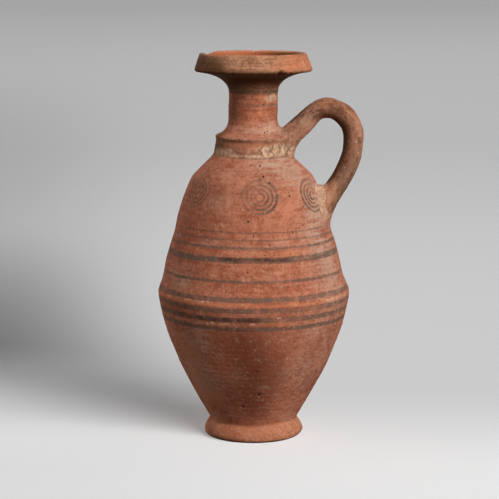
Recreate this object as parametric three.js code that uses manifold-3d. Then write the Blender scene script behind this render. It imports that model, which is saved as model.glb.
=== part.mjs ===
// Terracotta jug: a wheel-thrown jug with a disc foot, a two-coned belly, a collared neck, a dish mouth
// with an overhanging rim, and one round loop handle from the collar to the shoulder.
// Millimetres, +Z up, origin at the centre of the foot's underside, handle towards +X.
// The sections are thrown one by one and luted together: each joint is a lap, a tongue inside a rebate.
import * as THREE from "three";
import { mergeVertices } from "three/addons/utils/BufferGeometryUtils.js";
import Module from "manifold-3d";

const wasm = await Module();
wasm.setup();

// Heights of the sections, from the foot up
const FOOT_HEIGHT = 13;
const LOWER_BODY_HEIGHT = 100.5;
const UPPER_BODY_HEIGHT = 90;
const SHOULDER_HEIGHT = 17.2;
const COLLAR_HEIGHT = 15.5;
const NECK_HEIGHT = 34;
const MOUTH_HEIGHT = 17.5;
const RIM_HEIGHT = 12.3;

// Outer radii
const FOOT_BASE_RADIUS = 36.5;
const FOOT_EDGE_RADIUS = 39;
const WAIST_RADIUS = 34.5;
const BELLY_RADIUS = 75;
const SHOULDER_RADIUS = 48;
const COLLAR_BASE_RADIUS = 31;
const NECK_RADIUS = 18.7;
const RIM_BASE_RADIUS = 45.2;

// Walls, measured level, and the floor, measured upright
const WAIST_WALL = 10;
const BELLY_WALL = 6;
const SHOULDER_WALL = 8.5;
const NECK_WALL = 4.7;
const MOUTH_WALL = 4.4;
const RIM_WALL = 4.4;
const LIP_WALL = 3.8;
const FLOOR = 8;

// Small forms
const FOOT_EDGE_HEIGHT = 4;
const COLLAR_WAIST_INSET = 2;
const COLLAR_WAIST_HEIGHT = 8;
const COLLAR_TOP_INSET = 2.2;
const NECK_SPREAD_HEIGHT = 13;
const RIM_EDGE = 1;
const RIM_LEAN = 4;
const LIP_ROUND = 1.2;

// Lap joints: the height of a tongue, and the slip-filled gap around each tongue and each handle root
const LAP = 4;
const RIM_LAP = 3;
const LUTE = 0.3;

// Handle: a round coil bent in the XZ plane, measured along the middle of its section
const HANDLE_THICKNESS = 15.4;
const HANDLE_WIDTH = 16.6;
const HANDLE_REACH = 78.7;
const HANDLE_BEND_REACH = 20.7;
const HANDLE_RISE = 22.3;
const UPPER_ROOT_DROP = 0.9;
const LOWER_ROOT_DROP = 22.5;
const UPPER_ROOT_ANGLE = THREE.MathUtils.degToRad(46);
const LOWER_ROOT_ANGLE = THREE.MathUtils.degToRad(62.4);
const UPPER_ROOT_LEAD = 19;
const LOWER_ROOT_LEAD = 24;
const APEX_LEAD = 8;
const OUTER_LEAD = 15;
const ROOT_DEPTH = 8;

// Clay pads smeared round the handle's two roots
const UPPER_PAD_SPREAD = 3.6;
const UPPER_PAD_HEIGHT = 6;
const UPPER_PAD_TILT = THREE.MathUtils.degToRad(30);
const LOWER_PAD_SPREAD = 5;
const LOWER_PAD_HEIGHT = 7;
const PAD_EDGE = 0.8;
const PAD_SKIRT = 7;

// Curve shapes: how far out and up each curve's control point lies on the way between its ends
const FOOT_UNDERSIDE = { out: 0.95, up: 0.2 };
const FOOT_SLOPE = { out: 0.1, up: 0.4 };
const LOWER_BODY_SWELL = { out: 0.92, up: 0.675 };
const UPPER_BODY_TAPER = { out: 0.46, up: 0.57 };
const SHOULDER_TURN = { out: 0.12, up: 0.19 };
const COLLAR_HOLLOW = { out: 0.9, up: 0.3 };
const NECK_SPREAD = { out: 0.86, up: 0.22 };
const MOUTH_FLARE = { out: 0.05, up: 0.8 };
const DISH_HOLLOW = { out: 0.1, up: 0.85 };
const LIP_OUTSIDE = { out: 0.2, up: 0.9 };
const LIP_INSIDE = { out: 0.8, up: 0.1 };
const PAD_FLANK = { out: 0.8, up: 0.2 };

// Facets: round the jug, along a long or short curve, round and along the handle, and round a pad
const TURN_STEPS = 40;
const CURVE_STEPS = 7;
const SHORT_CURVE_STEPS = 3;
const HANDLE_SIDES = 16;
const HANDLE_STEPS = 30;
const PAD_STEPS = 24;

// Points nearer than this are one point
const SAME_POINT = 1e-4;

// Joint planes
const waistZ = FOOT_HEIGHT;
const bellyZ = waistZ + LOWER_BODY_HEIGHT;
const shoulderZ = bellyZ + UPPER_BODY_HEIGHT;
const collarZ = shoulderZ + SHOULDER_HEIGHT;
const neckZ = collarZ + COLLAR_HEIGHT;
const mouthZ = neckZ + NECK_HEIGHT;
const rimZ = mouthZ + MOUTH_HEIGHT;
const topZ = rimZ + RIM_HEIGHT;

// Radii that follow from a neighbour's
const collarTopRadius = COLLAR_BASE_RADIUS - COLLAR_TOP_INSET;
const rimTopRadius = RIM_BASE_RADIUS - RIM_LEAN;
const collarBore = COLLAR_BASE_RADIUS - SHOULDER_WALL;
const neckBore = NECK_RADIUS - NECK_WALL;
const dishRadius = RIM_BASE_RADIUS - RIM_WALL;

const slipRed = new THREE.MeshStandardMaterial({ color: 0xa5583f, roughness: 0.85, metalness: 0 });
const bareClay = new THREE.MeshStandardMaterial({ color: 0xb5704f, roughness: 0.9, metalness: 0 });
const paleSlip = new THREE.MeshStandardMaterial({ color: 0xb08463, roughness: 0.9, metalness: 0 });
const wornSlip = new THREE.MeshStandardMaterial({ color: 0x99603f, roughness: 0.88, metalness: 0 });

// A point of an outline: its distance from the wheel's axis and its height.
const at = (radius, height) => new THREE.Vector2(radius, height);

// A curved stretch of an outline.
function bend(from, to, shape, steps = CURVE_STEPS) {
  const control = at(
    THREE.MathUtils.lerp(from.x, to.x, shape.out),
    THREE.MathUtils.lerp(from.y, to.y, shape.up),
  );
  return new THREE.QuadraticBezierCurve(from, control, to).getPoints(steps);
}

// Stretches joined end to end, without the points that repeat at the joins.
function chain(...stretches) {
  const points = stretches.flat();
  return points.filter((p, i) => i === 0 || p.distanceTo(points[i - 1]) > SAME_POINT);
}

// A rising outline moved towards the axis by a wall that changes evenly with height.
function narrowed(outline, wallAtStart, wallAtEnd) {
  const low = outline[0].y;
  const rise = outline.at(-1).y - low;
  const wall = (p) => THREE.MathUtils.lerp(wallAtStart, wallAtEnd, (p.y - low) / rise);
  return outline.map((p) => at(p.x - wall(p), p.y));
}

// The radius of a rising outline at a height.
function radiusAt(outline, height) {
  const i = Math.max(1, outline.findIndex((p) => p.y >= height));
  const [low, high] = [outline[i - 1], outline[i]];
  return THREE.MathUtils.mapLinear(height, low.y, high.y, low.x, high.x);
}

// The part of a rising outline above a height, starting exactly there.
function above(outline, height) {
  return [at(radiusAt(outline, height), height), ...outline.filter((p) => p.y > height)];
}

// A rising outline moved outwards along its own normals.
function grown(outline, distance) {
  return outline.map((p, i) => {
    const before = outline[Math.max(i - 1, 0)];
    const after = outline[Math.min(i + 1, outline.length - 1)];
    const along = after.clone().sub(before).normalize();
    return at(p.x + along.y * distance, p.y - along.x * distance);
  });
}

// A solid of revolution about Z. Its outline runs up the outside and down the inside.
function turned(outline) {
  return new THREE.LatheGeometry(outline, TURN_STEPS).rotateX(Math.PI / 2);
}

// A ring: an outline off the axis that closes on itself.
function ring(outline) {
  return turned([...outline, outline[0].clone()]);
}

function solidOf(geometry) {
  const bare = geometry.clone();
  bare.deleteAttribute("normal");
  bare.deleteAttribute("uv");
  const merged = mergeVertices(bare, SAME_POINT);
  return new wasm.Manifold(
    new wasm.Mesh({
      numProp: 3,
      vertProperties: new Float32Array(merged.attributes.position.array),
      triVerts: new Uint32Array(merged.index.array),
    }),
  );
}

function geometryOf(solid) {
  const mesh = solid.getMesh();
  const geometry = new THREE.BufferGeometry();
  geometry.setAttribute("position", new THREE.BufferAttribute(mesh.vertProperties, mesh.numProp));
  geometry.setIndex(new THREE.BufferAttribute(mesh.triVerts, 1));
  return geometry;
}

// Outer faces of the sections, each from its lower joint to its upper one
const footEdge = at(FOOT_EDGE_RADIUS, FOOT_EDGE_HEIGHT);
const waist = at(WAIST_RADIUS, waistZ);
const belly = at(BELLY_RADIUS, bellyZ);
const shoulder = at(SHOULDER_RADIUS, shoulderZ);
const collarBase = at(COLLAR_BASE_RADIUS, collarZ);
const collarWaist = at(COLLAR_BASE_RADIUS - COLLAR_WAIST_INSET, collarZ + COLLAR_WAIST_HEIGHT);
const collarTop = at(collarTopRadius, neckZ);
const neckBase = at(NECK_RADIUS, neckZ + NECK_SPREAD_HEIGHT);
const neckTop = at(NECK_RADIUS, mouthZ);
const flareEdge = at(RIM_BASE_RADIUS - RIM_EDGE, rimZ - RIM_EDGE);
const rimEdge = at(RIM_BASE_RADIUS, rimZ - RIM_EDGE / 2);
const rimBase = at(RIM_BASE_RADIUS, rimZ);

const footOuter = chain(
  bend(at(FOOT_BASE_RADIUS, 0), footEdge, FOOT_UNDERSIDE, SHORT_CURVE_STEPS),
  bend(footEdge, waist, FOOT_SLOPE, SHORT_CURVE_STEPS),
);
const lowerOuter = bend(waist, belly, LOWER_BODY_SWELL);
const upperOuter = chain(
  bend(belly, shoulder, UPPER_BODY_TAPER),
  bend(shoulder, collarBase, SHOULDER_TURN, SHORT_CURVE_STEPS),
);
const collarOuter = chain(bend(collarBase, collarWaist, COLLAR_HOLLOW, SHORT_CURVE_STEPS), [collarTop]);
const neckOuter = chain(bend(collarTop, neckBase, NECK_SPREAD), [neckTop]);
const mouthOuter = chain(bend(neckTop, flareEdge, MOUTH_FLARE), [rimEdge, rimBase]);

// A lap splits its wall in the middle: the tongue below stops short of it, the rebate above begins past it.
const tongueOf = (outer, wall) => outer - wall / 2 - LUTE / 2;
const rebateOf = (outer, wall) => outer - wall / 2 + LUTE / 2;

// The foot is a disc with a shallow socket on top, in which the belly's spigot is centred.
function foot() {
  const socket = rebateOf(WAIST_RADIUS, WAIST_WALL);
  const socketFloor = waistZ - LAP - LUTE;
  return turned([at(0, 0), ...footOuter, at(socket, waistZ), at(socket, socketFloor), at(0, socketFloor)]);
}

// The lower half of the belly is a bowl with a spigot below and a tongue inside its edge.
function lowerBody() {
  const spigot = tongueOf(WAIST_RADIUS, WAIST_WALL);
  const tongue = tongueOf(BELLY_RADIUS, BELLY_WALL);
  const floorZ = waistZ + FLOOR;
  const hollow = above(narrowed(lowerOuter, WAIST_WALL, BELLY_WALL), floorZ);
  return turned([
    at(0, waistZ - LAP),
    at(spigot, waistZ - LAP),
    at(spigot, waistZ),
    ...lowerOuter,
    at(tongue, bellyZ),
    at(tongue, bellyZ + LAP),
    at(BELLY_RADIUS - BELLY_WALL, bellyZ + LAP),
    ...hollow.reverse(),
    at(0, floorZ),
  ]);
}

// The upper half of the belly carries the shoulder, with a tongue round its opening for the collar.
function upperBody() {
  const rebate = rebateOf(BELLY_RADIUS, BELLY_WALL);
  const rebateTop = bellyZ + LAP + LUTE;
  const tongue = tongueOf(COLLAR_BASE_RADIUS, SHOULDER_WALL);
  const hollow = above(narrowed(upperOuter, BELLY_WALL, SHOULDER_WALL), rebateTop);
  return ring([
    ...upperOuter,
    at(tongue, collarZ),
    at(tongue, collarZ + LAP),
    at(collarBore, collarZ + LAP),
    ...hollow.reverse(),
    at(rebate, rebateTop),
    at(rebate, bellyZ),
  ]);
}

// The collar stands round the shoulder's tongue, and its flat top carries the neck.
function collar() {
  const rebate = rebateOf(COLLAR_BASE_RADIUS, SHOULDER_WALL);
  const rebateTop = collarZ + LAP + LUTE;
  return ring([
    ...collarOuter,
    at(collarBore, neckZ),
    at(collarBore, rebateTop),
    at(rebate, rebateTop),
    at(rebate, collarZ),
  ]);
}

// The neck is a tube with a spread foot on the collar, a spigot inside it, and a tongue on top.
function neck() {
  const spigot = collarBore - LUTE;
  const tongue = tongueOf(NECK_RADIUS, NECK_WALL);
  return ring([
    at(spigot, neckZ - LAP),
    at(spigot, neckZ),
    ...neckOuter,
    at(tongue, mouthZ),
    at(tongue, mouthZ + LAP),
    at(neckBore, mouthZ + LAP),
    at(neckBore, neckZ + NECK_SPREAD_HEIGHT / 2),
    at(spigot - NECK_WALL, neckZ - LAP),
  ]);
}

// The mouth is a trumpet-shaped dish on the neck, with a tongue at its edge for the rim.
function mouth() {
  const rebate = rebateOf(NECK_RADIUS, NECK_WALL);
  const rebateTop = mouthZ + LAP + LUTE;
  const tongue = tongueOf(RIM_BASE_RADIUS, RIM_WALL);
  const dish = bend(at(neckBore, rebateTop + MOUTH_WALL), at(dishRadius, rimZ + RIM_LAP), DISH_HOLLOW);
  return ring([
    ...mouthOuter,
    at(tongue, rimZ),
    at(tongue, rimZ + RIM_LAP),
    ...dish.reverse(),
    at(neckBore, rebateTop),
    at(rebate, rebateTop),
    at(rebate, mouthZ),
  ]);
}

// The rim is a band that leans inwards from the dish's edge to a rounded lip.
function rim() {
  const rebate = rebateOf(RIM_BASE_RADIUS, RIM_WALL);
  const rebateTop = rimZ + RIM_LAP + LUTE;
  const inside = rimTopRadius - LIP_WALL;
  const roundZ = topZ - LIP_ROUND;
  const outerRound = bend(
    at(rimTopRadius, roundZ),
    at(rimTopRadius - LIP_ROUND, topZ),
    LIP_OUTSIDE,
    SHORT_CURVE_STEPS,
  );
  const innerRound = bend(at(inside + LIP_ROUND, topZ), at(inside, roundZ), LIP_INSIDE, SHORT_CURVE_STEPS);
  return ring([
    rimBase,
    ...outerRound,
    ...innerRound,
    at(dishRadius, rebateTop),
    at(rebate, rebateTop),
    at(rebate, rimZ),
  ]);
}

// Where the handle's middle line meets the clay, and which way it leaves
const wayUp = (angle) => new THREE.Vector3(Math.cos(angle), 0, Math.sin(angle));
const upperRoot = new THREE.Vector3(collarTopRadius, 0, neckZ - UPPER_ROOT_DROP);
const upperWay = wayUp(UPPER_ROOT_ANGLE);
const lowerRootZ = shoulderZ - LOWER_ROOT_DROP;
const lowerRoot = new THREE.Vector3(radiusAt(upperOuter, lowerRootZ), 0, lowerRootZ);
const lowerWay = wayUp(LOWER_ROOT_ANGLE);

// The handle's middle line: out of the collar, over the apex, down the outside and into the shoulder.
function handleLine() {
  const away = (from, way, distance) => from.clone().addScaledVector(way, distance);
  const outward = new THREE.Vector3(1, 0, 0);
  const down = new THREE.Vector3(0, 0, -1);
  const apex = new THREE.Vector3(HANDLE_REACH - HANDLE_BEND_REACH, 0, neckZ + HANDLE_RISE);
  const outermost = new THREE.Vector3(HANDLE_REACH, 0, neckZ);
  const ovalShare = (4 / 3) * (Math.SQRT2 - 1);
  const rise = new THREE.CubicBezierCurve3(
    upperRoot,
    away(upperRoot, upperWay, UPPER_ROOT_LEAD),
    away(apex, outward, -APEX_LEAD),
    apex,
  );
  const quarterOval = new THREE.CubicBezierCurve3(
    apex,
    away(apex, outward, ovalShare * HANDLE_BEND_REACH),
    away(outermost, down, -ovalShare * HANDLE_RISE),
    outermost,
  );
  const fall = new THREE.CubicBezierCurve3(
    outermost,
    away(outermost, down, OUTER_LEAD),
    away(lowerRoot, lowerWay, LOWER_ROOT_LEAD),
    lowerRoot,
  );
  const line = new THREE.CurvePath();
  line.add(new THREE.LineCurve3(away(upperRoot, upperWay, -ROOT_DEPTH), upperRoot));
  line.add(rise);
  line.add(quarterOval);
  line.add(fall);
  line.add(new THREE.LineCurve3(lowerRoot, away(lowerRoot, lowerWay, -ROOT_DEPTH)));
  return line;
}

// A coil of oval section along the handle's middle line, with room round it if asked.
function coil(room) {
  const section = new THREE.Shape();
  section.absellipse(0, 0, HANDLE_WIDTH / 2 + room, HANDLE_THICKNESS / 2 + room, 0, 2 * Math.PI);
  return solidOf(
    new THREE.ExtrudeGeometry(section, {
      extrudePath: handleLine(),
      steps: HANDLE_STEPS,
      curveSegments: HANDLE_SIDES / 2,
    }),
  );
}

// The jug's outside from belly to mouth, larger by the luting gap: the roots are cut to fit it.
const outside = solidOf(
  turned([at(0, bellyZ), ...grown(chain(upperOuter, collarOuter, neckOuter), LUTE), at(0, mouthZ)]),
);

// A low mound of clay, sheared so that it follows a coil that leaves the wall at a slant.
function mound(spread, height, lean) {
  const core = HANDLE_THICKNESS / 2;
  const wide = core + spread;
  const flank = bend(at(wide, PAD_EDGE), at(core + PAD_EDGE, height), PAD_FLANK, SHORT_CURVE_STEPS);
  const slant = new THREE.Matrix4().makeShear(0, 0, 0, 0, Math.tan(lean), 0);
  const outline = [at(0, -PAD_SKIRT), at(wide, -PAD_SKIRT), ...flank, at(0, height)];
  return new THREE.LatheGeometry(outline, PAD_STEPS)
    .rotateX(Math.PI / 2)
    .scale(1 / Math.cos(lean), HANDLE_WIDTH / HANDLE_THICKNESS, 1)
    .applyMatrix4(slant);
}

// A mound on a root, tilted with the wall there, and cut to fit the wall and the coil.
function pad(spread, height, root, rootAngle, wallTilt) {
  const placed = mound(spread, height, wallTilt - rootAngle)
    .rotateY(Math.PI / 2 - wallTilt)
    .translate(root.x, root.y, root.z);
  return geometryOf(solidOf(placed).subtract(outside).subtract(coil(LUTE)));
}

// How far the wall's outward side tilts up at the lower root.
function shoulderTilt() {
  const below = radiusAt(upperOuter, lowerRootZ - LOWER_PAD_HEIGHT);
  const over = radiusAt(upperOuter, lowerRootZ + LOWER_PAD_HEIGHT);
  return Math.atan2(below - over, 2 * LOWER_PAD_HEIGHT);
}

function upperPad() {
  return pad(UPPER_PAD_SPREAD, UPPER_PAD_HEIGHT, upperRoot, UPPER_ROOT_ANGLE, UPPER_PAD_TILT);
}

function lowerPad() {
  return pad(LOWER_PAD_SPREAD, LOWER_PAD_HEIGHT, lowerRoot, LOWER_ROOT_ANGLE, shoulderTilt());
}

const jug = new THREE.Group();
jug.name = "terracotta_jug";

function addPiece(name, geometry, material) {
  const piece = new THREE.Mesh(geometry, material);
  piece.name = name;
  jug.add(piece);
}

addPiece("foot", foot(), bareClay);
addPiece("lower_body", lowerBody(), slipRed);
addPiece("upper_body", upperBody(), slipRed);
addPiece("collar", collar(), paleSlip);
addPiece("neck", neck(), slipRed);
addPiece("mouth", mouth(), wornSlip);
addPiece("rim", rim(), wornSlip);
addPiece("handle", geometryOf(coil(0).subtract(outside)), wornSlip);
addPiece("upper_handle_pad", upperPad(), wornSlip);
addPiece("lower_handle_pad", lowerPad(), paleSlip);

export default jug;
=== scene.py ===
"""Terracotta jug: the surfaces, painted slip, wear and studio stage that dress the packed frame."""
import math
from functools import reduce

import bpy
import numpy as np
from bpy.props import FloatProperty, FloatVectorProperty, IntProperty, PointerProperty
from bpy.types import Operator, Panel, PropertyGroup
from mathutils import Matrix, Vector


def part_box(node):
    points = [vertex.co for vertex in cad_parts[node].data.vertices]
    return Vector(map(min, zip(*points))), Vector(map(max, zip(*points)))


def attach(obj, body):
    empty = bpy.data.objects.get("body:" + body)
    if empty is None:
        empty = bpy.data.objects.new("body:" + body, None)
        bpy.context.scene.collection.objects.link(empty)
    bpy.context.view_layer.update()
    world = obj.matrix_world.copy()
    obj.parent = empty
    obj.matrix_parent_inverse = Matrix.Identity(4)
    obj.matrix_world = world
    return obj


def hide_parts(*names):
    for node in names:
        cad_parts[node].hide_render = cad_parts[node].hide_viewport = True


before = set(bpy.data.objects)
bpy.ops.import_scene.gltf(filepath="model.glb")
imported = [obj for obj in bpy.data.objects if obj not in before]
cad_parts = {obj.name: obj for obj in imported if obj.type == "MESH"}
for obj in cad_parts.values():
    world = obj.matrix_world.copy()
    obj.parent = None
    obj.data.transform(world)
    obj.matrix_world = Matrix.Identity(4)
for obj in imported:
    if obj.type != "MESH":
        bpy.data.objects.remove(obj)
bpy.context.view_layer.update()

bl_info = {
    "name": "Terracotta jug",
    "version": (1, 0, 0),
    "blender": (4, 5, 0),
    "location": "View3D > Sidebar > Jug",
    "description": "A wheel-thrown jug with painted bands and circles, built over its packed frame",
    "category": "Add Mesh",
}

MM = 0.001

# Joint planes and outer radii, read from the frame
WAIST_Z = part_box("foot")[1].z
BELLY_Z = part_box("upper_body")[0].z
COLLAR_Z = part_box("collar")[0].z
NECK_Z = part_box("collar")[1].z
MOUTH_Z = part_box("mouth")[0].z
RIM_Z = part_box("rim")[0].z
TOP_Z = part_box("rim")[1].z
FOOT_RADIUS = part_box("foot")[1].x
BELLY_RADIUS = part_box("upper_body")[1].x
COLLAR_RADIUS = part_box("collar")[1].x
RIM_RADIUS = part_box("rim")[1].x

# Painted bands on the belly and the neck: height, width (mm) and strength
BODY_BANDS = (
    (168.5, 0.9, 0.75), (163.0, 1.2, 0.72), (157.2, 2.0, 0.9), (148.3, 4.7, 0.95), (132.6, 2.1, 0.9),
    (119.5, 3.5, 0.9), (111.4, 3.6, 0.85), (104.4, 3.8, 0.9), (97.1, 3.4, 0.9),
)
SHOULDER_BANDS = ((221.4, 1.7, 0.55),)
NECK_BANDS = ((270.6, 2.3, 0.9), (260.6, 1.9, 0.75))

# Concentric circles. Each centre: angle from the handle (degrees), height (mm), strength, strength of the
# outer ring and the direction (degrees) where it is strongest. Each ring: radius, line width (mm), strength.
CIRCLE_CENTRES = (
    (-21.0, 192.6, 1.0, 1.0, 200), (-75.7, 194.2, 1.0, 1.0, -30), (-138.0, 196.6, 0.85, 0.6, 20),
    (174.0, 194.5, 0.9, 0.8, 60), (124.0, 195.5, 1.0, 0.9, -80), (76.0, 193.5, 0.8, 1.0, 150),
    (27.0, 194.5, 0.9, 0.9, 10),
)
CIRCLE_RINGS = ((0.0, 1.6, 0.45), (3.3, 1.8, 0.95), (6.6, 1.8, 0.95), (9.8, 1.9, 1.0), (13.3, 2.2, 1.0))

# Pits in the slip: angle (degrees), height, radius, depth (mm)
PITS = (
    (-85, 216.3, 0.7, 0.5), (-79, 216.0, 0.7, 0.5), (-73, 216.3, 0.8, 0.6), (-76, 213.6, 0.7, 0.4),
    (-71, 208.8, 1.0, 0.8), (-74, 207.1, 0.8, 0.5), (-66, 204.2, 0.9, 0.7), (-58, 209.5, 0.9, 0.4),
    (-49, 194.5, 0.9, 0.8), (-37, 185.8, 0.9, 0.7), (-85, 176.6, 1.0, 0.6), (-41, 172.1, 0.8, 0.6),
    (-51, 167.8, 0.9, 0.6), (-81, 166.0, 0.9, 0.5), (-77, 166.0, 0.8, 0.5), (-83, 161.3, 0.9, 0.45),
    (-70, 159.7, 0.9, 0.5), (-85, 153.3, 0.8, 0.45), (-73, 152.1, 0.8, 0.5), (-67, 151.9, 0.8, 0.5),
    (-85, 139.8, 0.8, 0.6), (-98, 125.6, 1.1, 0.42), (-91.5, 126.4, 0.9, 0.42), (-96, 124.2, 0.8, 0.45),
    (-76, 41.6, 1.1, 1.1), (-92, 30.5, 1.0, 0.9), (-22, 55.8, 1.2, 0.5), (-79, 61.5, 0.8, 0.6),
    (-55.5, 261.4, 0.8, 0.7), (-58, 240.5, 0.7, 0.6),
)

# Marks on the clay: angle (degrees), height, reach around, reach up (mm), strength
DUST = (
    # (-27, 267): the neck's pale patch, made paler as painted light where the rim's shadow falls.
    (-10, 188, 15, 17, 1.05), (14, 186, 15, 17, 0.8), (-27, 267, 7, 4.5, 0.75), (-24, 177, 11, 9, 0.5),
    (-27, 160, 15, 26, 0.5), (-18, 128, 14, 22, 0.5), (-50, 212, 16, 5, 0.65), (-72, 204, 20, 9, 0.3),
    (-72, 218, 12, 3.5, 0.55), (-48, 218.2, 12, 4, 0.7), (-26, 218, 11, 5, 0.5), (-38, 206, 10, 5, 0.4),
    (-36, 209, 12, 7, 0.4), (-75, 240.5, 26, 4, 0.55), (-36, 243, 11, 6, 0.75), (-35, 166, 10, 5, 0.5),
    (-62, 160, 9, 4, 0.35), (-116, 160, 9, 3, 0.45), (-84, 156, 9, 3, 0.3), (-128, 133, 5, 6, 0.4),
    (-20, 143, 7, 9, 0.5), (-30, 152, 9, 6, 0.35), (-66, 139, 7, 5, 0.3), (-133, 128, 9, 4, 0.5),
    # (-119, 85) and (-124, 52): dust, partly painted light on the shaded lower left of the belly.
    (-136, 134, 14, 9, 0.35), (-110, 209, 14, 7, 0.3), (-119, 85, 12, 14, 0.6), (-124, 52, 12, 16, 0.75),
    (-140, 60, 12, 22, 0.4), (-94, 58, 5, 5, 0.35), (-30, 17, 9, 4, 0.5), (-130, 18, 9, 5, 0.4),
    (-72, 48, 4, 3, 0.4), (-45, 60, 12, 9, 0.4), (-35, 45, 3, 4, 0.5), (-110, 190, 11, 7, 0.3),
    # (-25, 150) and (-28, 70): a broad pale haze on the lit right of the belly, dust and painted sheen.
    (-40, 93, 14, 6, 0.3), (-25, 150, 26, 60, 0.35), (-28, 70, 24, 40, 0.32), (100, 150, 22, 12, 0.5),
    (140, 90, 20, 18, 0.45), (60, 70, 18, 14, 0.4), (30, 130, 16, 10, 0.5), (90, 210, 20, 6, 0.5),
    (150, 205, 14, 6, 0.4), (100, 240, 20, 4, 0.6), (170, 266, 6, 6, 0.7),
)
# Dark olive stain, and painted shade: under the mouth's dish at 275-284 mm, in the hollow under the collar's
# ridge at 233 mm and under the flange's left end at 237.5 mm.
GRIME = (
    # On the left of the rim (-152, 293), (-118, 292) and of the neck (-150, 255), (-125, 262) the marks are
    # partly stain and partly painted shade.
    (-152, 293, 22, 9, 1.1), (-152, 237.5, 9, 2.6, 0.7), (-118, 292, 9, 8, 0.55), (150, 292, 14, 8, 0.5),
    (-85, 283.5, 60, 5.5, 1.4), (-150, 255, 9, 16, 0.65), (-125, 262, 8, 12, 0.35),
    (-140, 275, 12, 5, 0.6), (-115, 233.4, 26, 1.8, 0.2), (-84, 233.2, 10, 1.3, 0.18),
    (-145, 230, 11, 4, 0.65), (-112, 229, 9, 3, 0.25), (-165, 226, 8, 6, 0.7), (-92, 44, 20, 22, 0.12),
    (-142, 8, 14, 8, 0.3), (-38, 210, 13, 7, 0.46), (-136, 105, 12, 9, 0.5), (-30, 56, 5, 5, 0.4),
    (-141, 196, 12, 12, 0.3), (-140, 150, 9, 12, 0.3), (60, 290, 20, 8, 0.5), (120, 231, 22, 3, 0.8),
    # The three marks at 0.5 mm darken the foot's lowest edge all round.
    (70, 160, 14, 10, 0.3), (110, 280, 50, 8, 0.8), (-100, 0.5, 40, 1.6, 0.8), (-30, 0.5, 40, 1.6, 0.6),
    (150, 0.5, 60, 1.6, 0.7),
)
# Slip fired dark, and painted shade: the lower belly darkened round 30-90 mm where it faces down, most in
# front at (-83, 62), the foot's crease at 13 mm, and the hollow under the collar's ridge at 231 mm.
DEEP = (
    (-83, 62, 22, 36, 0.86), (-98, 90, 30, 10, 0.35), (-80, 30, 15, 14, 0.45), (-110, 231, 20, 3.5, 0.35),
    (-100, 13.2, 30, 1.9, 0.2), (150, 13, 60, 1.9, 0.25), (-60, 66, 10, 20, 0.25),
    (-97, 148.8, 8, 2, 0.65), (-74, 148.8, 9, 2, 0.7), (-60, 148.4, 8, 2, 0.55), (-110, 104, 16, 2, 0.6),
    (-85, 104.4, 12, 2, 0.5), (-124, 176, 14, 24, 0.33), (-112, 196, 8, 10, 0.4),
    (-128, 112, 16, 14, 0.3), (150, 60, 40, 34, 0.8), (60, 50, 30, 26, 0.6), (110, 170, 24, 20, 0.4),
)
RUST = (
    (-48, 291, 13, 10, 0.55), (-18, 293, 16, 9, 0.75), (12, 293, 12, 9, 0.5), (140, 296, 22, 6, 0.9),
    (100, 296, 20, 5, 0.5), (-68, 254, 12, 5, 0.6), (-70, 266, 9, 3, 0.5), (-28, 265, 9, 5, 0.5),
    (-52, 229, 10, 3, 0.4), (-92, 230, 24, 3.4, 0.6), (-80, 152.5, 30, 2.4, 0.35),
    (-50, 152.5, 20, 2.2, 0.5), (-64, 140, 8, 6, 0.55), (-85, 127, 14, 5, 0.4), (-120, 153, 20, 2.4, 0.6),
    (-60, 101, 30, 2, 0.55), (-120, 101, 20, 2, 0.4), (-55, 183, 12, 9, 0.4), (-86, 205, 9, 6, 0.45),
    # (-126, 42) here and (-118, 78) below: rubbed slip, partly painted light on the shaded lower left of the
    # belly.
    (-110, 205, 9, 6, 0.35), (-126, 42, 17, 20, 0.95), (-40, 16, 14, 5, 0.45), (-132, 16, 12, 5, 0.6),
    (-90, 13.5, 30, 1.6, 0.3), (-136, 140, 14, 10, 0.35), (-118, 78, 14, 12, 0.4),
    (-134, 66, 14, 26, 0.7), (90, 293, 16, 9, 0.7), (170, 150, 30, 3, 0.5), (40, 180, 14, 12, 0.4),
    (110, 254, 14, 6, 0.6),
)
CREAM = (
    (-50, 227.6, 9, 4.6, 1.15), (-24, 226.5, 13, 4.8, 1.25), (-62, 225.4, 7, 3.6, 0.8),
    (-88, 222.8, 16, 1.3, 0.8), (-32, 230.6, 6, 2.4, 0.6), (-142, 225, 11, 3, 0.6),
    # (-27, 267.3) and (-38, 265): a pale patch on the neck, made paler as painted light where the rim's
    # shadow falls.
    (-27, 267.3, 6.5, 3.6, 1.15), (-38, 265, 4.4, 3, 0.7), (-150, 227.5, 6, 2, 0.65),
    (-122, 226.5, 6, 2.4, 0.7), (-72, 228.5, 8, 1.8, 0.4), (-98, 226.5, 12, 4, 0.3),
    (-130, 224, 14, 3, 0.4), (-108, 223.2, 6, 1.4, 0.4), (30, 228, 10, 6, 1.1), (75, 228, 16, 6, 1.0),
    (130, 227, 18, 5, 1.1), (175, 226, 14, 4, 0.9), (-12, 190, 10, 14, 0.8), (13, 190, 11, 14, 0.65),
    (-4, 176, 9, 6, 0.3),
)
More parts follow.
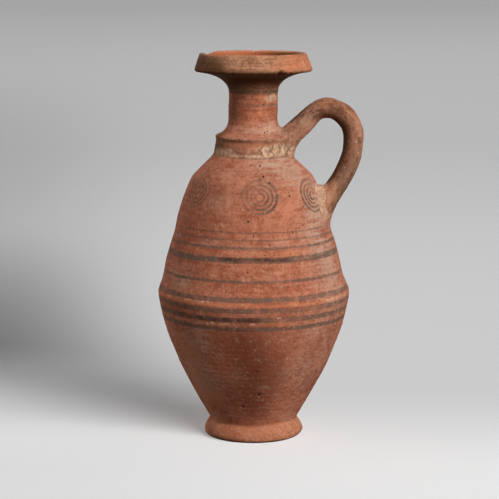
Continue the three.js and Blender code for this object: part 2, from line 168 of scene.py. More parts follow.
CHAFE = (
    (-122, 116.9, 15, 0.7, 0.85), (-143, 116.4, 12, 0.7, 0.85), (-108, 117.0, 8, 0.7, 0.6),
    (-29, 115.4, 11, 1.0, 1.1), (-13, 116.4, 11, 0.7, 0.7), (-8, 114.9, 13, 0.9, 0.7),
    (-75, 115.3, 24, 0.8, 0.35), (-108, 101.0, 5, 1.5, 0.95), (-97, 100.8, 6, 1.4, 0.95),
    (-82, 101.2, 6, 1.4, 0.95), (-118, 108, 3, 0.8, 0.5), (-66, 106, 3, 0.7, 0.6),
    (-45, 100.8, 9, 0.8, 0.35), (-55, 114.6, 5, 0.9, 0.6), (-150, 115.0, 9, 0.9, 0.5),
    (40, 115.2, 12, 1.0, 0.8), (90, 115.0, 16, 1.0, 0.6), (130, 101.0, 8, 0.9, 0.8),
    (165, 115.2, 10, 1.0, 0.8), (70, 101, 6, 0.9, 0.8), (-140, 132.8, 1.0, 1.6, 1.1),
    (-98, 195.9, 0.8, 0.8, 1.0), (-61, 192.5, 0.8, 0.7, 1.0), (-89, 185.2, 1.0, 0.8, 0.9),
    (-87, 133.3, 0.8, 0.9, 0.9), (-76, 39.6, 1.6, 0.7, 1.1), (-66, 105.6, 1.6, 0.6, 1.0),
    (-35, 44.6, 0.8, 1.0, 1.0), (-80, 121.5, 0.7, 0.7, 0.8), (-48, 157, 8, 3, 0.35),
    (-30, 292, 20, 6, 0.3), (-10, 291, 14, 5, 0.25),
)
# Where the paint is faded: the same five numbers
FADED = (
    (-140, 260.9, 16, 4, 1.0), (-178, 260.9, 16, 4, 0.7), (-138, 221.4, 24, 3, 0.9),
    (170, 221.4, 30, 3, 0.8), (-150, 168, 26, 4, 0.5), (-53, 111.4, 18, 2.2, 0.5),
    (-60, 104.4, 12, 2.2, 0.45), (-84, 97.1, 6, 2, 0.35), (120, 111.4, 24, 2.2, 0.5),
    (60, 97.1, 16, 2.2, 0.45),
)

# Chips in the lip: first and last angle (degrees), depth at each (mm)
LIP_CHIPS = (
    (213, 238, 1.0, 1.0), (234, 249, 1.9, 0.4), (144, 160, 0.1, 2.8), (157, 181, 2.8, 3.1),
    (88, 100, 0.3, 0.9),
)
# Nicks in the rim's lower edge: angle (degrees), half width, depth, height (mm)
EDGE_NICKS = (
    (-53, 4.0, 4.6, 3.4), (-48.5, 1.8, 2.2, 2.0), (-27, 1.4, 1.8, 1.7), (-100, 1.0, 0.9, 0.9),
    (40, 2.0, 2.0, 1.8), (155, 2.4, 2.2, 2.0),
)
# Slow swells and dips of the hand-thrown wall: height, reach and depth (mm)
SWELLS = ((126, 9, -1.5), (143, 14, -0.9), (163, 8, -0.75), (190, 13, 0.6))
# Swells and dips along the coil: place and reach (shares of its length) and size
COIL_SWELLS = (
    (0.14, 0.075, 1.0), (0.25, 0.03, -0.45), (0.315, 0.03, 0.5), (0.385, 0.03, 0.1), (0.78, 0.07, -0.7),
)

# Marks that only the outside of the wall carries
OUTER_MARKS = {"dust": DUST, "deep": DEEP, "rust": RUST, "cream": CREAM, "chafe": CHAFE}
# Strength of the rust along the belly's ridge: rubbed slip and a painted highlight
RIDGE_RUST = 0.75

# Small pits: number, ranges of angle (degrees), height, radius and depth (mm), shade for 1 mm of depth
SMALL_PITS = 150
SMALL_PIT_RANGES = ((-180, 180), (16, 262), (0.4, 0.75), (0.15, 0.5))
PIT_SHADE = 1.6
# Waves of the ragged lip and lower edge: size (mm), number round the jug and start (radians)
LIP_RIPPLES = ((0.12, 37, 0), (0.1, 61, 1), (0.08, 97, 2))
EDGE_RIPPLES = ((0.3, 53, 0), (0.28, 89, 1.7), (0.24, 131, 0.4))
# Directions (radians): the handle's side, the groove's deepest places with their reach, and the smear
HANDLE_SIDE = 0.16
GROOVE_DEEPEST = ((math.radians(-114), 0.72), (1.7, 0.8))
SMEAR_ANGLE = math.radians(-38)
# Distance between throwing rings, and the height below which the foot stays flat
RING_STEP = 3.9 * MM
FOOT_SETTLE = 3 * MM
# Where a circle's outermost ring starts, and a distance beyond all rings
OUTER_RING = 11.5 * MM
FAR_OFF = 0.1
# How much the circles are squeezed in height, and how steep the ends of a chip are
CIRCLE_SQUEEZE = 1.1
CHIP_STEEPNESS = 14

# Outline: the collar's hollow, the rim's lower edge, the lip, the collar's ridge and the end of the wall
COLLAR_HOLLOW = 8 * MM
FLARE_DROP = 1.9 * MM
EDGE_DROP = 1.3 * MM
LIP_HALF = 1.9 * MM
LIP_ROUND = 0.6 * MM
RIDGE_DROP = 0.8 * MM
RIDGE_REACH = 1.5 * MM
WALL_END_DROP = 2.2 * MM
# Inside: the belly's wall at waist, ridge and collar, the mouth's dish, and the bore's spread lower end
BELLY_WALLS = (10 * MM, 6 * MM, 8.5 * MM)
DISH_FLOOR = 8.7 * MM
DISH_JOINT = 3 * MM
BORE_SPREAD = 3.5 * MM
BORE_DROP = 4 * MM
# Points and heights closer than this are the same; a tiny rise keeps level points in order
SAME_POINT = 1e-7
SAME_HEIGHT = 1e-6
LEVEL_RISE = 1e-12
# Gaps left at the axis, where a pole closes the skin, and at the ends of an outline
AXIS_GAP = 2 * MM
END_GAP = 0.02 * MM
# Edges sharper than this stay sharp
SHARP_ANGLE = math.radians(50)
# Steps along the hollow of the belly, the underside of the foot and the search for a root
HOLLOW_STEPS = 120
BASE_STEPS = 30
ROOT_STEPS = 700

# Coil: how far its line runs into the wall at each root, and the pulls of its curves
UPPER_INSIDE = 13 * MM
LOWER_INSIDE = 15 * MM
UPPER_PULL = 20 * MM
APEX_PULL = 10.5 * MM
OUTER_PULL = 19 * MM
LOWER_PULL = 24 * MM
QUARTER_PULL = 4 / 3 * (math.sqrt(2) - 1)
# Start of the lower root's flare, how much earlier it starts inside, and its length (shares of the coil)
FLARE_START = 0.76
FLARE_SLANT = 0.045
FLARE_LENGTH = 0.15
# How deep the coil's ends lie in the wall, and the radius and stretch of its streaks
COIL_SUNK = 2 * MM
COIL_ROUND = 8 * MM
COIL_DRAWN = 0.22
# Wear of the coil's foot, made paler as painted light on the side that turns from the lamp. Marks on the
# coil: strength, side, sharpness, place and reach (shares of it)
COIL_FOOT = {"dust": 0.5, "cream": 0.55, "grime": 0.0, "rust": 0.8, "chafe": 0.0}
COIL_MARKS = {
    # The pale outer side of the lower limb (0.64) is painted light bounced from the floor.
    "dust": ((0.9, "round", 1, 0.16, 0.1), (0.35, "outer", 1, 0.64, 0.18), (0.3, "round", 1, 0.74, 0.08)),
    "cream": ((0.35, "inner", 1, 0.2, 0.05), (0.35, "round", 1, 0.72, 0.06)),
    "grime": (
        # The sharp dark lines along the inner edge (0.73) and the outer edge (0.18) are painted shade.
        (1.3, "inner", 0.7, 0.42, 0.09), (1.2, "inner", 1.1, 0.57, 0.1), (1.4, "inner", 3, 0.73, 0.09),
        (0.4, "front", 1, 0.2, 0.05), (0.55, "outer", 1, 0.88, 0.03), (0.18, "outer", 1, 0.34, 0.08),
        (1.3, "outer", 5, 0.18, 0.08), (0.35, "open", 1, 0.62, 0.16), (0.52, "open", 1, 0.78, 0.09),
        (0.16, "open", 1, 0.33, 0.08),
    ),
    "rust": (
        (0.35, "outer", 1, 0.48, 0.16), (0.6, "round", 1, 0.15, 0.08), (0.3, "round", 1, 0.3, 0.06),
        (0.5, "inner", 1, 0.18, 0.08),
    ),
    "chafe": ((0.9, "spot", 1, 0.595, 0.006),),
}
# How far a pad's edges sink into the skins, and the points along each of its ribs
PAD_EDGE = 0.12 * MM
PAD_STEPS = 26

# How softly the handle's tones blend near the coil
COIL_BLEND = 0.4
# Lattice on the collar: cells round it and its height
LATTICE_CELLS = 20
LATTICE_HEIGHT = 13 * MM
# Stage: what the floor bounces, rise of the floor's own lamp (degrees) and width of the sensor (mm)
FLOOR_BOUNCE = (0.08, 0.08, 0.08)
SWEEP_RISE = 15
SENSOR_WIDTH = 36


def size_setting(label, says, default):
    """A length in metres."""
    return FloatProperty(name=label, description=says, default=default, unit="LENGTH")


def angle_setting(label, says, degrees):
    """An angle, given in degrees."""
    return FloatProperty(name=label, description=says, default=math.radians(degrees), subtype="ANGLE")


def number_setting(label, says, default):
    """A number without a unit."""
    return FloatProperty(name=label, description=says, default=default)


def colour_setting(label, says, default):
    """A colour as red, green and blue."""
    return FloatVectorProperty(name=label, description=says, default=default, subtype="COLOR", size=3)


class JugForm(PropertyGroup):
    """Outer form of the jug, as in the frame."""

    foot_radius: size_setting("Foot", "Radius of the foot's edge", FOOT_RADIUS - 0.4 * MM)
    foot_base: size_setting("Foot base", "Radius of the foot's flat underside", 36.5 * MM)
    foot_edge: size_setting("Foot edge", "Height of the foot's edge", 4 * MM)
    waist: size_setting("Waist", "Radius above the foot", 33.7 * MM)
    belly: size_setting("Belly", "Radius at the ridge", BELLY_RADIUS)
    ridge: size_setting("Ridge", "Height of the ridge above the belly's joint", 2 * MM)
    shoulder: size_setting("Shoulder", "Radius where the shoulder turns in", 48 * MM)
    shoulder_drop: size_setting("Shoulder drop", "Height of the shoulder's turn below the collar", 17.2 * MM)
    collar: size_setting("Collar", "Radius at the collar's base", COLLAR_RADIUS)
    collar_waist: size_setting("Collar waist", "Radius in the collar's hollow", 29.5 * MM)
    collar_top: size_setting("Collar top", "Radius at the collar's top", 28.8 * MM)
    collar_ridge: size_setting("Collar ridge", "How far the ridge stands out at the collar's top", 0.8 * MM)
    neck: size_setting("Neck", "Outer radius of the neck", 18.7 * MM)
    neck_spread: size_setting("Neck spread", "Height of the neck's spread foot", 13 * MM)
    bore: size_setting("Bore", "Inner radius of the neck", 14 * MM)
    rim: size_setting("Rim", "Radius at the rim's lower edge", RIM_RADIUS)
    rim_lean: size_setting("Rim lean", "How far the rim leans in towards its lip", 4 * MM)
    rim_wall: size_setting("Rim wall", "Thickness of the rim", 4.2 * MM)
    floor: size_setting("Floor", "Height of the inside floor above the waist", 8 * MM)
    columns: IntProperty(name="Columns", description="Steps round the jug", default=480, min=48)
    row_step: size_setting("Row step", "Distance between rows on the outside", 0.75 * MM)


class JugHandle(PropertyGroup):
    """The coil of the handle, as in the frame."""

    thickness: size_setting("Thickness", "Coil thickness in the handle's plane", 15.4 * MM)
    width: size_setting("Width", "Coil width across the plane", 16.6 * MM)
    reach: size_setting("Reach", "Distance of the middle line's outermost point from the axis", 78.7 * MM)
    bend_reach: size_setting("Bend reach", "Level distance from the apex to the outermost point", 20.7 * MM)
    rise: size_setting("Rise", "Height of the apex above the collar's top", 21.7 * MM)
    upper_drop: size_setting("Upper root drop", "Upper root below the collar's top", 0.9 * MM)
    lower_root: size_setting("Lower root", "Height of the lower root", 181 * MM)
    upper_angle: angle_setting("Upper root angle", "Slope at the upper root", 46)
    lower_angle: angle_setting("Lower root angle", "Slope at the lower root", 62.4)
    swell: size_setting("Swell", "Size of the coil's swells and dips against their table", 0.75 * MM)
    flare: size_setting("Flare", "How far the coil widens at its lower root", 2.6 * MM)
    columns: IntProperty(name="Columns", description="Steps round the coil", default=112, min=16)
    row_step: size_setting("Row step", "Distance between rows along the coil", 0.8 * MM)


class JugWear(PropertyGroup):
    """Hand-made unevenness and wear of the surface."""

    wobble: size_setting("Wobble", "How far the body is out of round", 0.25 * MM)
    throwing: size_setting("Throwing rings", "Height of the rings the fingers left", 0.05 * MM)
    flat: size_setting("Flat side", "How far the shoulder is pressed in beside the handle", 0.8 * MM)
    lean: size_setting("Lean", "How far the wall under the ridge leans towards the handle", 0.7 * MM)
    bulge: size_setting("Bulge", "How far the lower belly swells out under the handle", 1.1 * MM)
    lumps: size_setting("Lumps", "Height of the broad lumps", 0.16 * MM)
    grain: size_setting("Grain", "Height of the fine unevenness", 0.035 * MM)
    groove: size_setting("Groove", "Depth of the tool's groove under the collar's ridge", 0.65 * MM)
    smear: size_setting("Smear", "Clay smeared under the collar's ridge beside the handle", 1.1 * MM)
    tilt: size_setting("Tilt", "How much higher the collar's ridge stands away from the handle", 0.6 * MM)
    pit_scale: number_setting("Pits", "Depth of the pits against their table", 1.0)


class JugColours(PropertyGroup):
    """Colours of the clay, slip, paint and wear."""

    slip_deep: colour_setting("Deep slip", "Red slip where it is thick", (0.31, 0.086, 0.044))
    slip_light: colour_setting("Light slip", "Red slip where it is thin", (0.5, 0.185, 0.105))
    brown_deep: colour_setting("Deep brown", "Worn slip, dark", (0.23, 0.088, 0.048))
    brown_light: colour_setting("Light brown", "Worn slip, light", (0.43, 0.19, 0.108))
    olive_deep: colour_setting("Deep olive", "Worn slip on the handle, dark", (0.16, 0.066, 0.035))
    olive_light: colour_setting("Light olive", "Worn slip on the handle, light", (0.375, 0.166, 0.096))
    tan_deep: colour_setting("Deep tan", "Slip worn to clay on the mouth, dark", (0.28, 0.115, 0.06))
    tan_light: colour_setting("Light tan", "Slip worn to clay on the mouth, light", (0.53, 0.26, 0.145))
    clay_deep: colour_setting("Deep clay", "Bare clay, dark", (0.34, 0.112, 0.056))
    clay_light: colour_setting("Light clay", "Bare clay, light", (0.475, 0.192, 0.105))
    # The cream also paints light on the neck's shaded pale patch and on the coil's foot.
    cream_deep: colour_setting("Deep cream", "Pale slip, stained", (0.4, 0.23, 0.135))
    cream_light: colour_setting("Light cream", "Pale slip, clean", (0.7, 0.46, 0.3))
    # Dark slip also paints shade: on the lower belly, in the foot's crease and under the collar's ridge.
    deep: colour_setting("Dark slip", "Red slip fired dark", (0.165, 0.043, 0.022))
    # Rust also paints the highlight on the belly's ridge, and light on the shaded lower left and on the
    # coil's foot.
    rust: colour_setting("Rust", "Slip rubbed to bright orange", (0.6, 0.2, 0.092))
    # Dust also paints light: sheen on the belly's right, and light on the neck's shaded patch, the lower
    # left, the coil's foot and its lower limb.
    dust: colour_setting("Dust", "Pale lime bloom", (0.51, 0.32, 0.228))
    # Grime also paints shade: under the mouth, under the collar's ridge and flange, along the coil's edges,
    # and partly on the left of rim and neck.
    grime: colour_setting("Grime", "Dark olive stain", (0.088, 0.038, 0.013))
    fresh: colour_setting("Fresh clay", "Clay laid bare where the slip wore off", (0.66, 0.42, 0.26))
    soot: colour_setting("Thick paint", "Dark paint where it is thick", (0.04, 0.026, 0.021))
    paint: colour_setting("Paint", "Dark paint of the bands and circles", (0.15, 0.094, 0.068))
    pit: colour_setting("Pit", "Shade in the pits", (0.03, 0.014, 0.012))


class JugStage(PropertyGroup):
    """Camera, lamps and floor."""

    azimuth: angle_setting("Azimuth", "Camera's angle round the jug", 9)
    pitch: angle_setting("Pitch", "How far the camera looks down", 9.1)
    distance: size_setting("Distance", "Camera's distance from its target", 1.4428)
    target: size_setting("Target", "Height of the camera's target", 0.1465)
    aside: size_setting("Aside", "How far the camera stands to its left", 2.9 * MM)
    lens: number_setting("Lens", "Focal length in millimetres on a 36 mm sensor", 132.9)
    key: number_setting("Key", "Light of the large lamp at the right; at 1 a colour shows as written", 1.0)
    front: number_setting("Front", "Light of the weak lamp in front", 0.2)
    side: number_setting("Side", "Light of the weak lamp at the left and behind", 0.56)
    back: number_setting("Back", "Light of the weak lamp behind", 0.35)
    sky: number_setting("Sky", "Light from all round", 0.03)
    sweep: number_setting("Sweep", "Share of the floor's light that the jug can shade", 0.61)
    # The floor's tones paint the light falling off from the front to the back.
    floor_front: colour_setting("Front floor", "Tone of the floor before the jug", (0.76, 0.76, 0.76))
    floor_near: colour_setting("Near floor", "Tone of the floor just behind the jug", (0.572, 0.572, 0.572))
    floor_back: colour_setting("Back floor", "Tone of the floor two metres behind", (0.46, 0.46, 0.46))
    floor_far: colour_setting("Far floor", "Tone of the floor far behind", (0.36, 0.36, 0.36))


# Lines and fields


def bend(start, end, out, up, count=48):
    """Quadratic curve from start to end. Its control point lies the shares out and up of the way."""
    a, b = np.array(start, float), np.array(end, float)
    control = a + (b - a) * (out, up)
    t = np.linspace(0, 1, count)[:, None]
    return (1 - t) ** 2 * a + 2 * t * (1 - t) * control + t**2 * b


def cubic(a, b, c, d, count=80):
    """Cubic curve with end points a and d and control points b and c."""
    t = np.linspace(0, 1, count)[:, None]
    return (1 - t) ** 3 * a + 3 * t * (1 - t) ** 2 * b + 3 * t**2 * (1 - t) * c + t**3 * d


def lengths_of(line):
    """Length along a line at each of its points."""
    return np.r_[0, np.cumsum(np.linalg.norm(np.diff(line, axis=0), axis=1))]


def evenly(line, step):
    """The same line with points a given step apart."""
    along = lengths_of(line)
    places = np.linspace(0, along[-1], max(2, round(along[-1] / step) + 1))
    return np.column_stack([np.interp(places, along, column) for column in line.T])


def without_doubles(line):
    """The line without the points that lie on the one before."""
    return line[np.r_[True, np.linalg.norm(np.diff(line, axis=0), axis=1) > SAME_POINT]]


def softened(line, reach):
    """The line with rounded corners: each point is the mean of its neighbours under a bell curve."""
    along = lengths_of(line)
    weights = np.exp(-0.5 * ((along[:, None] - along[None, :]) / reach[:, None]) ** 2)
    soft = (weights / weights.sum(axis=1, keepdims=True)) @ line
    soft[0], soft[-1] = line[0], line[-1]
    return soft


def hump(value, middle, reach):
    """Bell curve: 1 at the middle, 1/e at the reach on both sides of it."""
    return np.exp(-(((value - middle) / reach) ** 2))


def ripple(angle, waves):
    """Sum of cosine waves round the jug, from a table of size, number round the jug and start."""
    return sum(size * np.cos(number * angle + start) for size, number, start in waves)


def unevenness(points, size, seed, waves=30):
    """Smooth random field of unit spread: cosine waves about size long in seeded random directions."""
    rng = np.random.default_rng(seed)
    ways = rng.normal(size=(3, waves))
    ways *= 2 * np.pi / size * rng.uniform(0.6, 1.5, waves) / np.linalg.norm(ways, axis=0)
    return np.cos(points @ ways + rng.uniform(0, 2 * np.pi, waves)).sum(axis=-1) / math.sqrt(waves / 2)


def turn_between(angle, middle):
    """Signed angle from middle to angle, the short way round."""
    return (angle - middle + np.pi) % (2 * np.pi) - np.pi


def marks(angle, radius, height, table):
    """Sum of bell-shaped marks from a table of angle, height, reach around, reach up and strength."""
    total = np.zeros_like(angle)
    for at_angle, at_height, around, up, strength in table:
        aside = turn_between(angle, math.radians(at_angle)) * radius / (around * MM)
        over = (height - at_height * MM) / (up * MM)
        total += strength * np.exp(-(aside**2 + over**2))
    return total


# Outlines


def outer_outline(form):
    """The outside from the middle of the underside to the middle of the lip, as radius and height."""
    foot_edge = (form.foot_radius, form.foot_edge)
    waist, belly = (form.waist, WAIST_Z), (form.belly, BELLY_Z + form.ridge)
    shoulder = (form.shoulder, COLLAR_Z - form.shoulder_drop)
    collar, collar_waist = (form.collar, COLLAR_Z), (form.collar_waist, COLLAR_Z + COLLAR_HOLLOW)
    collar_top, neck_base = (form.collar_top, NECK_Z), (form.neck, NECK_Z + form.neck_spread)
    flare, edge = (form.rim - MM, RIM_Z - FLARE_DROP), (form.rim, RIM_Z - EDGE_DROP)
    lip = form.rim - form.rim_lean
    lip_side, lip_top = (lip, TOP_Z - LIP_ROUND), (lip - LIP_HALF, TOP_Z)
    line = np.concatenate([
        [(0, 0)],
        bend((form.foot_base, 0), foot_edge, 0.95, 0.2),
        bend(foot_edge, waist, 0.2, 0.52),
        bend(waist, belly, 0.95, 0.66),
        bend(belly, shoulder, 0.46, 0.57),
        bend(shoulder, collar, 0.12, 0.19),
        bend(collar, collar_waist, 0.9, 0.3),
        [collar_top],
        bend(collar_top, neck_base, 0.86, 0.22),
        bend((form.neck, MOUTH_Z), flare, 0.05, 0.8),
        [edge, (form.rim, RIM_Z), lip_side],
        bend(lip_side, lip_top, 0.2, 0.95, 8),
    ])
    line = evenly(without_doubles(line), form.row_step / 2)
    heights = [0, WAIST_Z, 60 * MM, belly[1], 160 * MM, COLLAR_Z, NECK_Z, MOUTH_Z, RIM_Z, TOP_Z]
    roundings = MM * np.array([0.5, 1.2, 2, 0.6, 1.6, 1.6, 1.1, 2, 0.35, 0.4])
    line = softened(line, np.interp(line[:, 1], heights, roundings))
    line[:, 0] += form.collar_ridge * hump(line[:, 1], NECK_Z - RIDGE_DROP, RIDGE_REACH)
    for height, reach, swell in SWELLS:
        line[:, 0] += swell * MM * hump(line[:, 1], height * MM, reach * MM)
    return line


def inner_outline(form):
    """The inside from the middle of the lip down to the middle of the floor, as radius and height."""
    lip, dish = form.rim - form.rim_lean, form.rim - form.rim_wall
    outside = outer_outline(form)
    belly = np.linspace(COLLAR_Z, WAIST_Z + form.floor, HOLLOW_STEPS)
    wall = np.interp(belly, [WAIST_Z, BELLY_Z, COLLAR_Z], BELLY_WALLS)
    hollow = np.column_stack([np.interp(belly, outside[:, 1], outside[:, 0]) - wall, belly])
    line = np.concatenate([
        bend((lip - LIP_HALF, TOP_Z), (lip - 2 * LIP_HALF, TOP_Z - 2 * LIP_ROUND), 0.8, 0.1, 8),
        [(dish, RIM_Z + DISH_JOINT + 0.2 * MM)],
        bend((form.bore, MOUTH_Z + DISH_FLOOR), (dish, RIM_Z + DISH_JOINT), 0.1, 0.85)[::-1],
        [(form.bore, NECK_Z + form.neck_spread / 2), (form.bore + BORE_SPREAD, NECK_Z - BORE_DROP)],
        hollow,
        [(0, WAIST_Z + form.floor)],
    ])
    line = evenly(without_doubles(line), form.row_step)
    roundings = MM * np.array([2.5, 1.5, 0.9, 0.35])
    return softened(line, np.interp(line[:, 1], [NECK_Z, MOUTH_Z, RIM_Z, TOP_Z], roundings))


def stretch(line, low, high, step):
    """The part of an outline between two heights, with exact ends, at about that step."""
    rising = line[-1, 1] > line[0, 1]
    ordered = line if rising else line[::-1]
    heights = ordered[:, 1] + np.arange(len(ordered)) * LEVEL_RISE
    inside = ordered[(heights > low + SAME_HEIGHT) & (heights < high - SAME_HEIGHT)]
    ends = [(np.interp(height, heights, ordered[:, 0]), height) for height in (low, high)]
    part = evenly(np.concatenate([ends[:1], inside, ends[1:]]), step)
    return part if rising else part[::-1]


def wall_radius(form, height):
    """Outer radius of the jug at each height, from the belly to the mouth."""
    line = outer_outline(form)
    line = line[(line[:, 1] > SAME_HEIGHT) & (line[:, 1] < RIM_Z - WALL_END_DROP)]
    return np.interp(height, line[:, 1], line[:, 0])


# Meshes


def skin_mesh(name, grid, poles=None):
    """Closed mesh over a grid of points (rows, columns, 3). Columns run round and join up.

    Without poles the rows join up too, as on a ring. With poles the end rows close on one point each.
    """
    rows, columns = grid.shape[:2]
    number = np.arange(rows * columns).reshape(rows, columns)
    beside = np.roll(number, -1, axis=1)
    points, fans = grid.reshape(-1, 3), np.zeros((0, 3), int)
    if poles is None:
        corners = number, beside, np.roll(beside, -1, axis=0), np.roll(number, -1, axis=0)
    else:
        corners = number[:-1], beside[:-1], beside[1:], number[1:]
        first, last = np.full(columns, rows * columns), np.full(columns, rows * columns + 1)
        start = np.column_stack([beside[0], number[0], first])
        end = np.column_stack([number[-1], beside[-1], last])
        fans = np.concatenate([start, end])
        points = np.concatenate([points, poles])
    quads = np.stack(corners, axis=-1).reshape(-1, 4)
    triangles = points[np.concatenate([quads[:, :3], quads[:, [0, 2, 3]], fans])]
    volume = np.einsum("ij,ij->", triangles[:, 0], np.cross(triangles[:, 1], triangles[:, 2]))
    if volume < 0:
        quads, fans = quads[:, ::-1], fans[:, ::-1]
    mesh = bpy.data.meshes.new(name)
    mesh.from_pydata(points.tolist(), [], quads.tolist() + fans.tolist())
    mesh.shade_smooth()
    mesh.set_sharp_from_angle(angle=SHARP_ANGLE)
    return mesh, points


def padded(field, count):
    """The field as one row, with zeros for the poles that follow the grid's points."""
    return np.r_[field.ravel(), np.zeros(count - field.size)]


def keep_values(mesh, **values):
    """Stores one number or one vector per point under each name."""
    for name, array in values.items():
        vector = array.ndim == 2
        layer = mesh.attributes.new(name, "FLOAT_VECTOR" if vector else "FLOAT", "POINT")
        layer.data.foreach_set("vector" if vector else "value", array.astype(np.float32).ravel())


def add_piece(name, mesh, material, node):
    """The finished piece, riding on the frame in place of its node."""
    mesh.materials.append(material)
    piece = bpy.data.objects.new(name, mesh)
    bpy.context.scene.collection.objects.link(piece)
    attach(piece, "root")
    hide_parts(node)
    return piece


# Turned pieces


def pit_field(angle, radius, height):
    """Depth of the pits, and their shade from 0 to 1, at each point: the table's, then small seeded ones
    all round. Each pit is a bell curve of the distance from its middle along the wall."""
    rng = np.random.default_rng(11)
    small = np.column_stack([rng.uniform(low, high, SMALL_PITS) for low, high in SMALL_PIT_RANGES])
    depth, shade = np.zeros_like(angle), np.zeros_like(angle)
    for at_angle, at_height, size, deep in (*PITS, *small):
        aside = turn_between(angle, math.radians(at_angle)) * radius
        bell = np.exp(-((aside**2 + (height - at_height * MM) ** 2) / (size * MM) ** 2))
        depth = np.maximum(depth, deep * MM * bell)
        shade = np.maximum(shade, min(1.0, PIT_SHADE * deep) * bell)
    return depth, shade


def flat_side(angle, height, wear):
    """How far the shoulder is pressed in on the handle's side."""
    facing = np.clip(np.cos(angle - HANDLE_SIDE), 0, 1) ** 2
    return wear.flat * facing * hump(height, 202 * MM, 36 * MM)


def uneven_shift(points, angle, height, wear):
    """How far the hand-made surface stands out from the true outline: out of round, throwing rings,
    lumps, grain, a lean under the ridge, a bulge under the handle, and a groove under the collar's ridge
    that is deepest in front and behind, and smeared over beside the handle."""
    oval = np.cos(2 * (angle - 0.6)) + 0.6 * np.cos(3 * angle + height / (60 * MM))
    rings = np.cos(2 * np.pi * height / RING_STEP + angle)
    rings = rings * (0.6 + 0.4 * np.cos(height / (17 * MM) + 2 * angle))
    deepest = sum(hump(turn_between(angle, middle), 0, reach) for middle, reach in GROOVE_DEEPEST)
    groove = hump(height, NECK_Z - 3.8 * MM, 1.9 * MM) * (0.12 + 0.88 * deepest)
    smear = hump(turn_between(angle, SMEAR_ANGLE), 0, 0.6) * hump(height, NECK_Z - 3.4 * MM, 2.6 * MM)
    beside = np.cos(angle - HANDLE_SIDE)
    return (
        wear.wobble * oval
        + wear.throwing * rings
        + wear.lean * beside * hump(height, 102 * MM, 16 * MM)
        + wear.bulge * np.clip(beside, 0, 1) * hump(height, 57 * MM, 22 * MM)
        + wear.lumps * unevenness(points, 30 * MM, 3)
        + wear.grain * unevenness(points, 5 * MM, 5)
        - wear.groove * groove
        + wear.smear * smear
        - flat_side(angle, height, wear)
    )


def lip_height(angle):
    """Height that the lip is broken down to at each angle, or raised to a little by the handle."""
    turn = np.degrees(angle) % 360
    loss = np.zeros_like(angle)
    for first, last, deep_first, deep_last in LIP_CHIPS:
        along = (turn - first) / (last - first)
        within = np.clip(np.minimum(along, 1 - along) * CHIP_STEEPNESS, 0, 1)
        loss = np.maximum(loss, within * (deep_first + (deep_last - deep_first) * np.clip(along, 0, 1)))
    ragged = ripple(angle, LIP_RIPPLES)
    raised = 0.6 * hump(turn_between(angle, 0.2), 0, 0.6)
    chipped, whole = np.maximum(loss + 1.6 * ragged, 0), 0.1 + 0.3 * np.abs(ragged) - raised
    return TOP_Z - MM * np.where(loss > 0, chipped, whole)


def edge_loss(angle, radius, height):
    """How far the rim's lower edge is knocked back and up: triangular nicks and slight raggedness."""
    loss = np.zeros_like(angle)
    for at_angle, half, deep, tall in EDGE_NICKS:
        aside = np.abs(turn_between(angle, math.radians(at_angle))) * radius / (half * MM)
        over = np.abs(height - (RIM_Z - 1.8 * MM)) / (tall * MM)
        loss = np.maximum(loss, deep * np.clip(1 - aside, 0, 1) * np.clip(1 - over, 0, 1))
    ragged = ripple(angle, EDGE_RIPPLES)
    at_edge = radius > 0.9 * RIM_RADIUS
    near = hump(height, RIM_Z - 1.5 * MM, 0.8 * MM) * at_edge
    return MM * (loss * at_edge + near * np.abs(ragged)), MM * near * np.maximum(ragged, 0)


def circle_field(angle, radius, height):
    """Distance along the wall from the nearest circle's centre, and how strongly that circle is painted
    at the point: more on one side, and by its own measure in the outermost ring."""
    nearest, shown = np.full_like(angle, FAR_OFF), np.zeros_like(angle)
    for at_angle, at_height, strength, outer_strength, strongest in CIRCLE_CENTRES:
        aside = turn_between(angle, math.radians(at_angle)) * radius
        over = np.clip((height - at_height * MM) * CIRCLE_SQUEEZE, -FAR_OFF / 2, FAR_OFF / 2)
        away = np.hypot(aside, over)
        facing = 0.75 + 0.25 * np.cos(np.arctan2(over, aside) - math.radians(strongest))
        here = facing * np.where(away < OUTER_RING, strength, strength * outer_strength)
        shown, nearest = np.where(away < nearest, here, shown), np.minimum(nearest, away)
    return nearest, shown


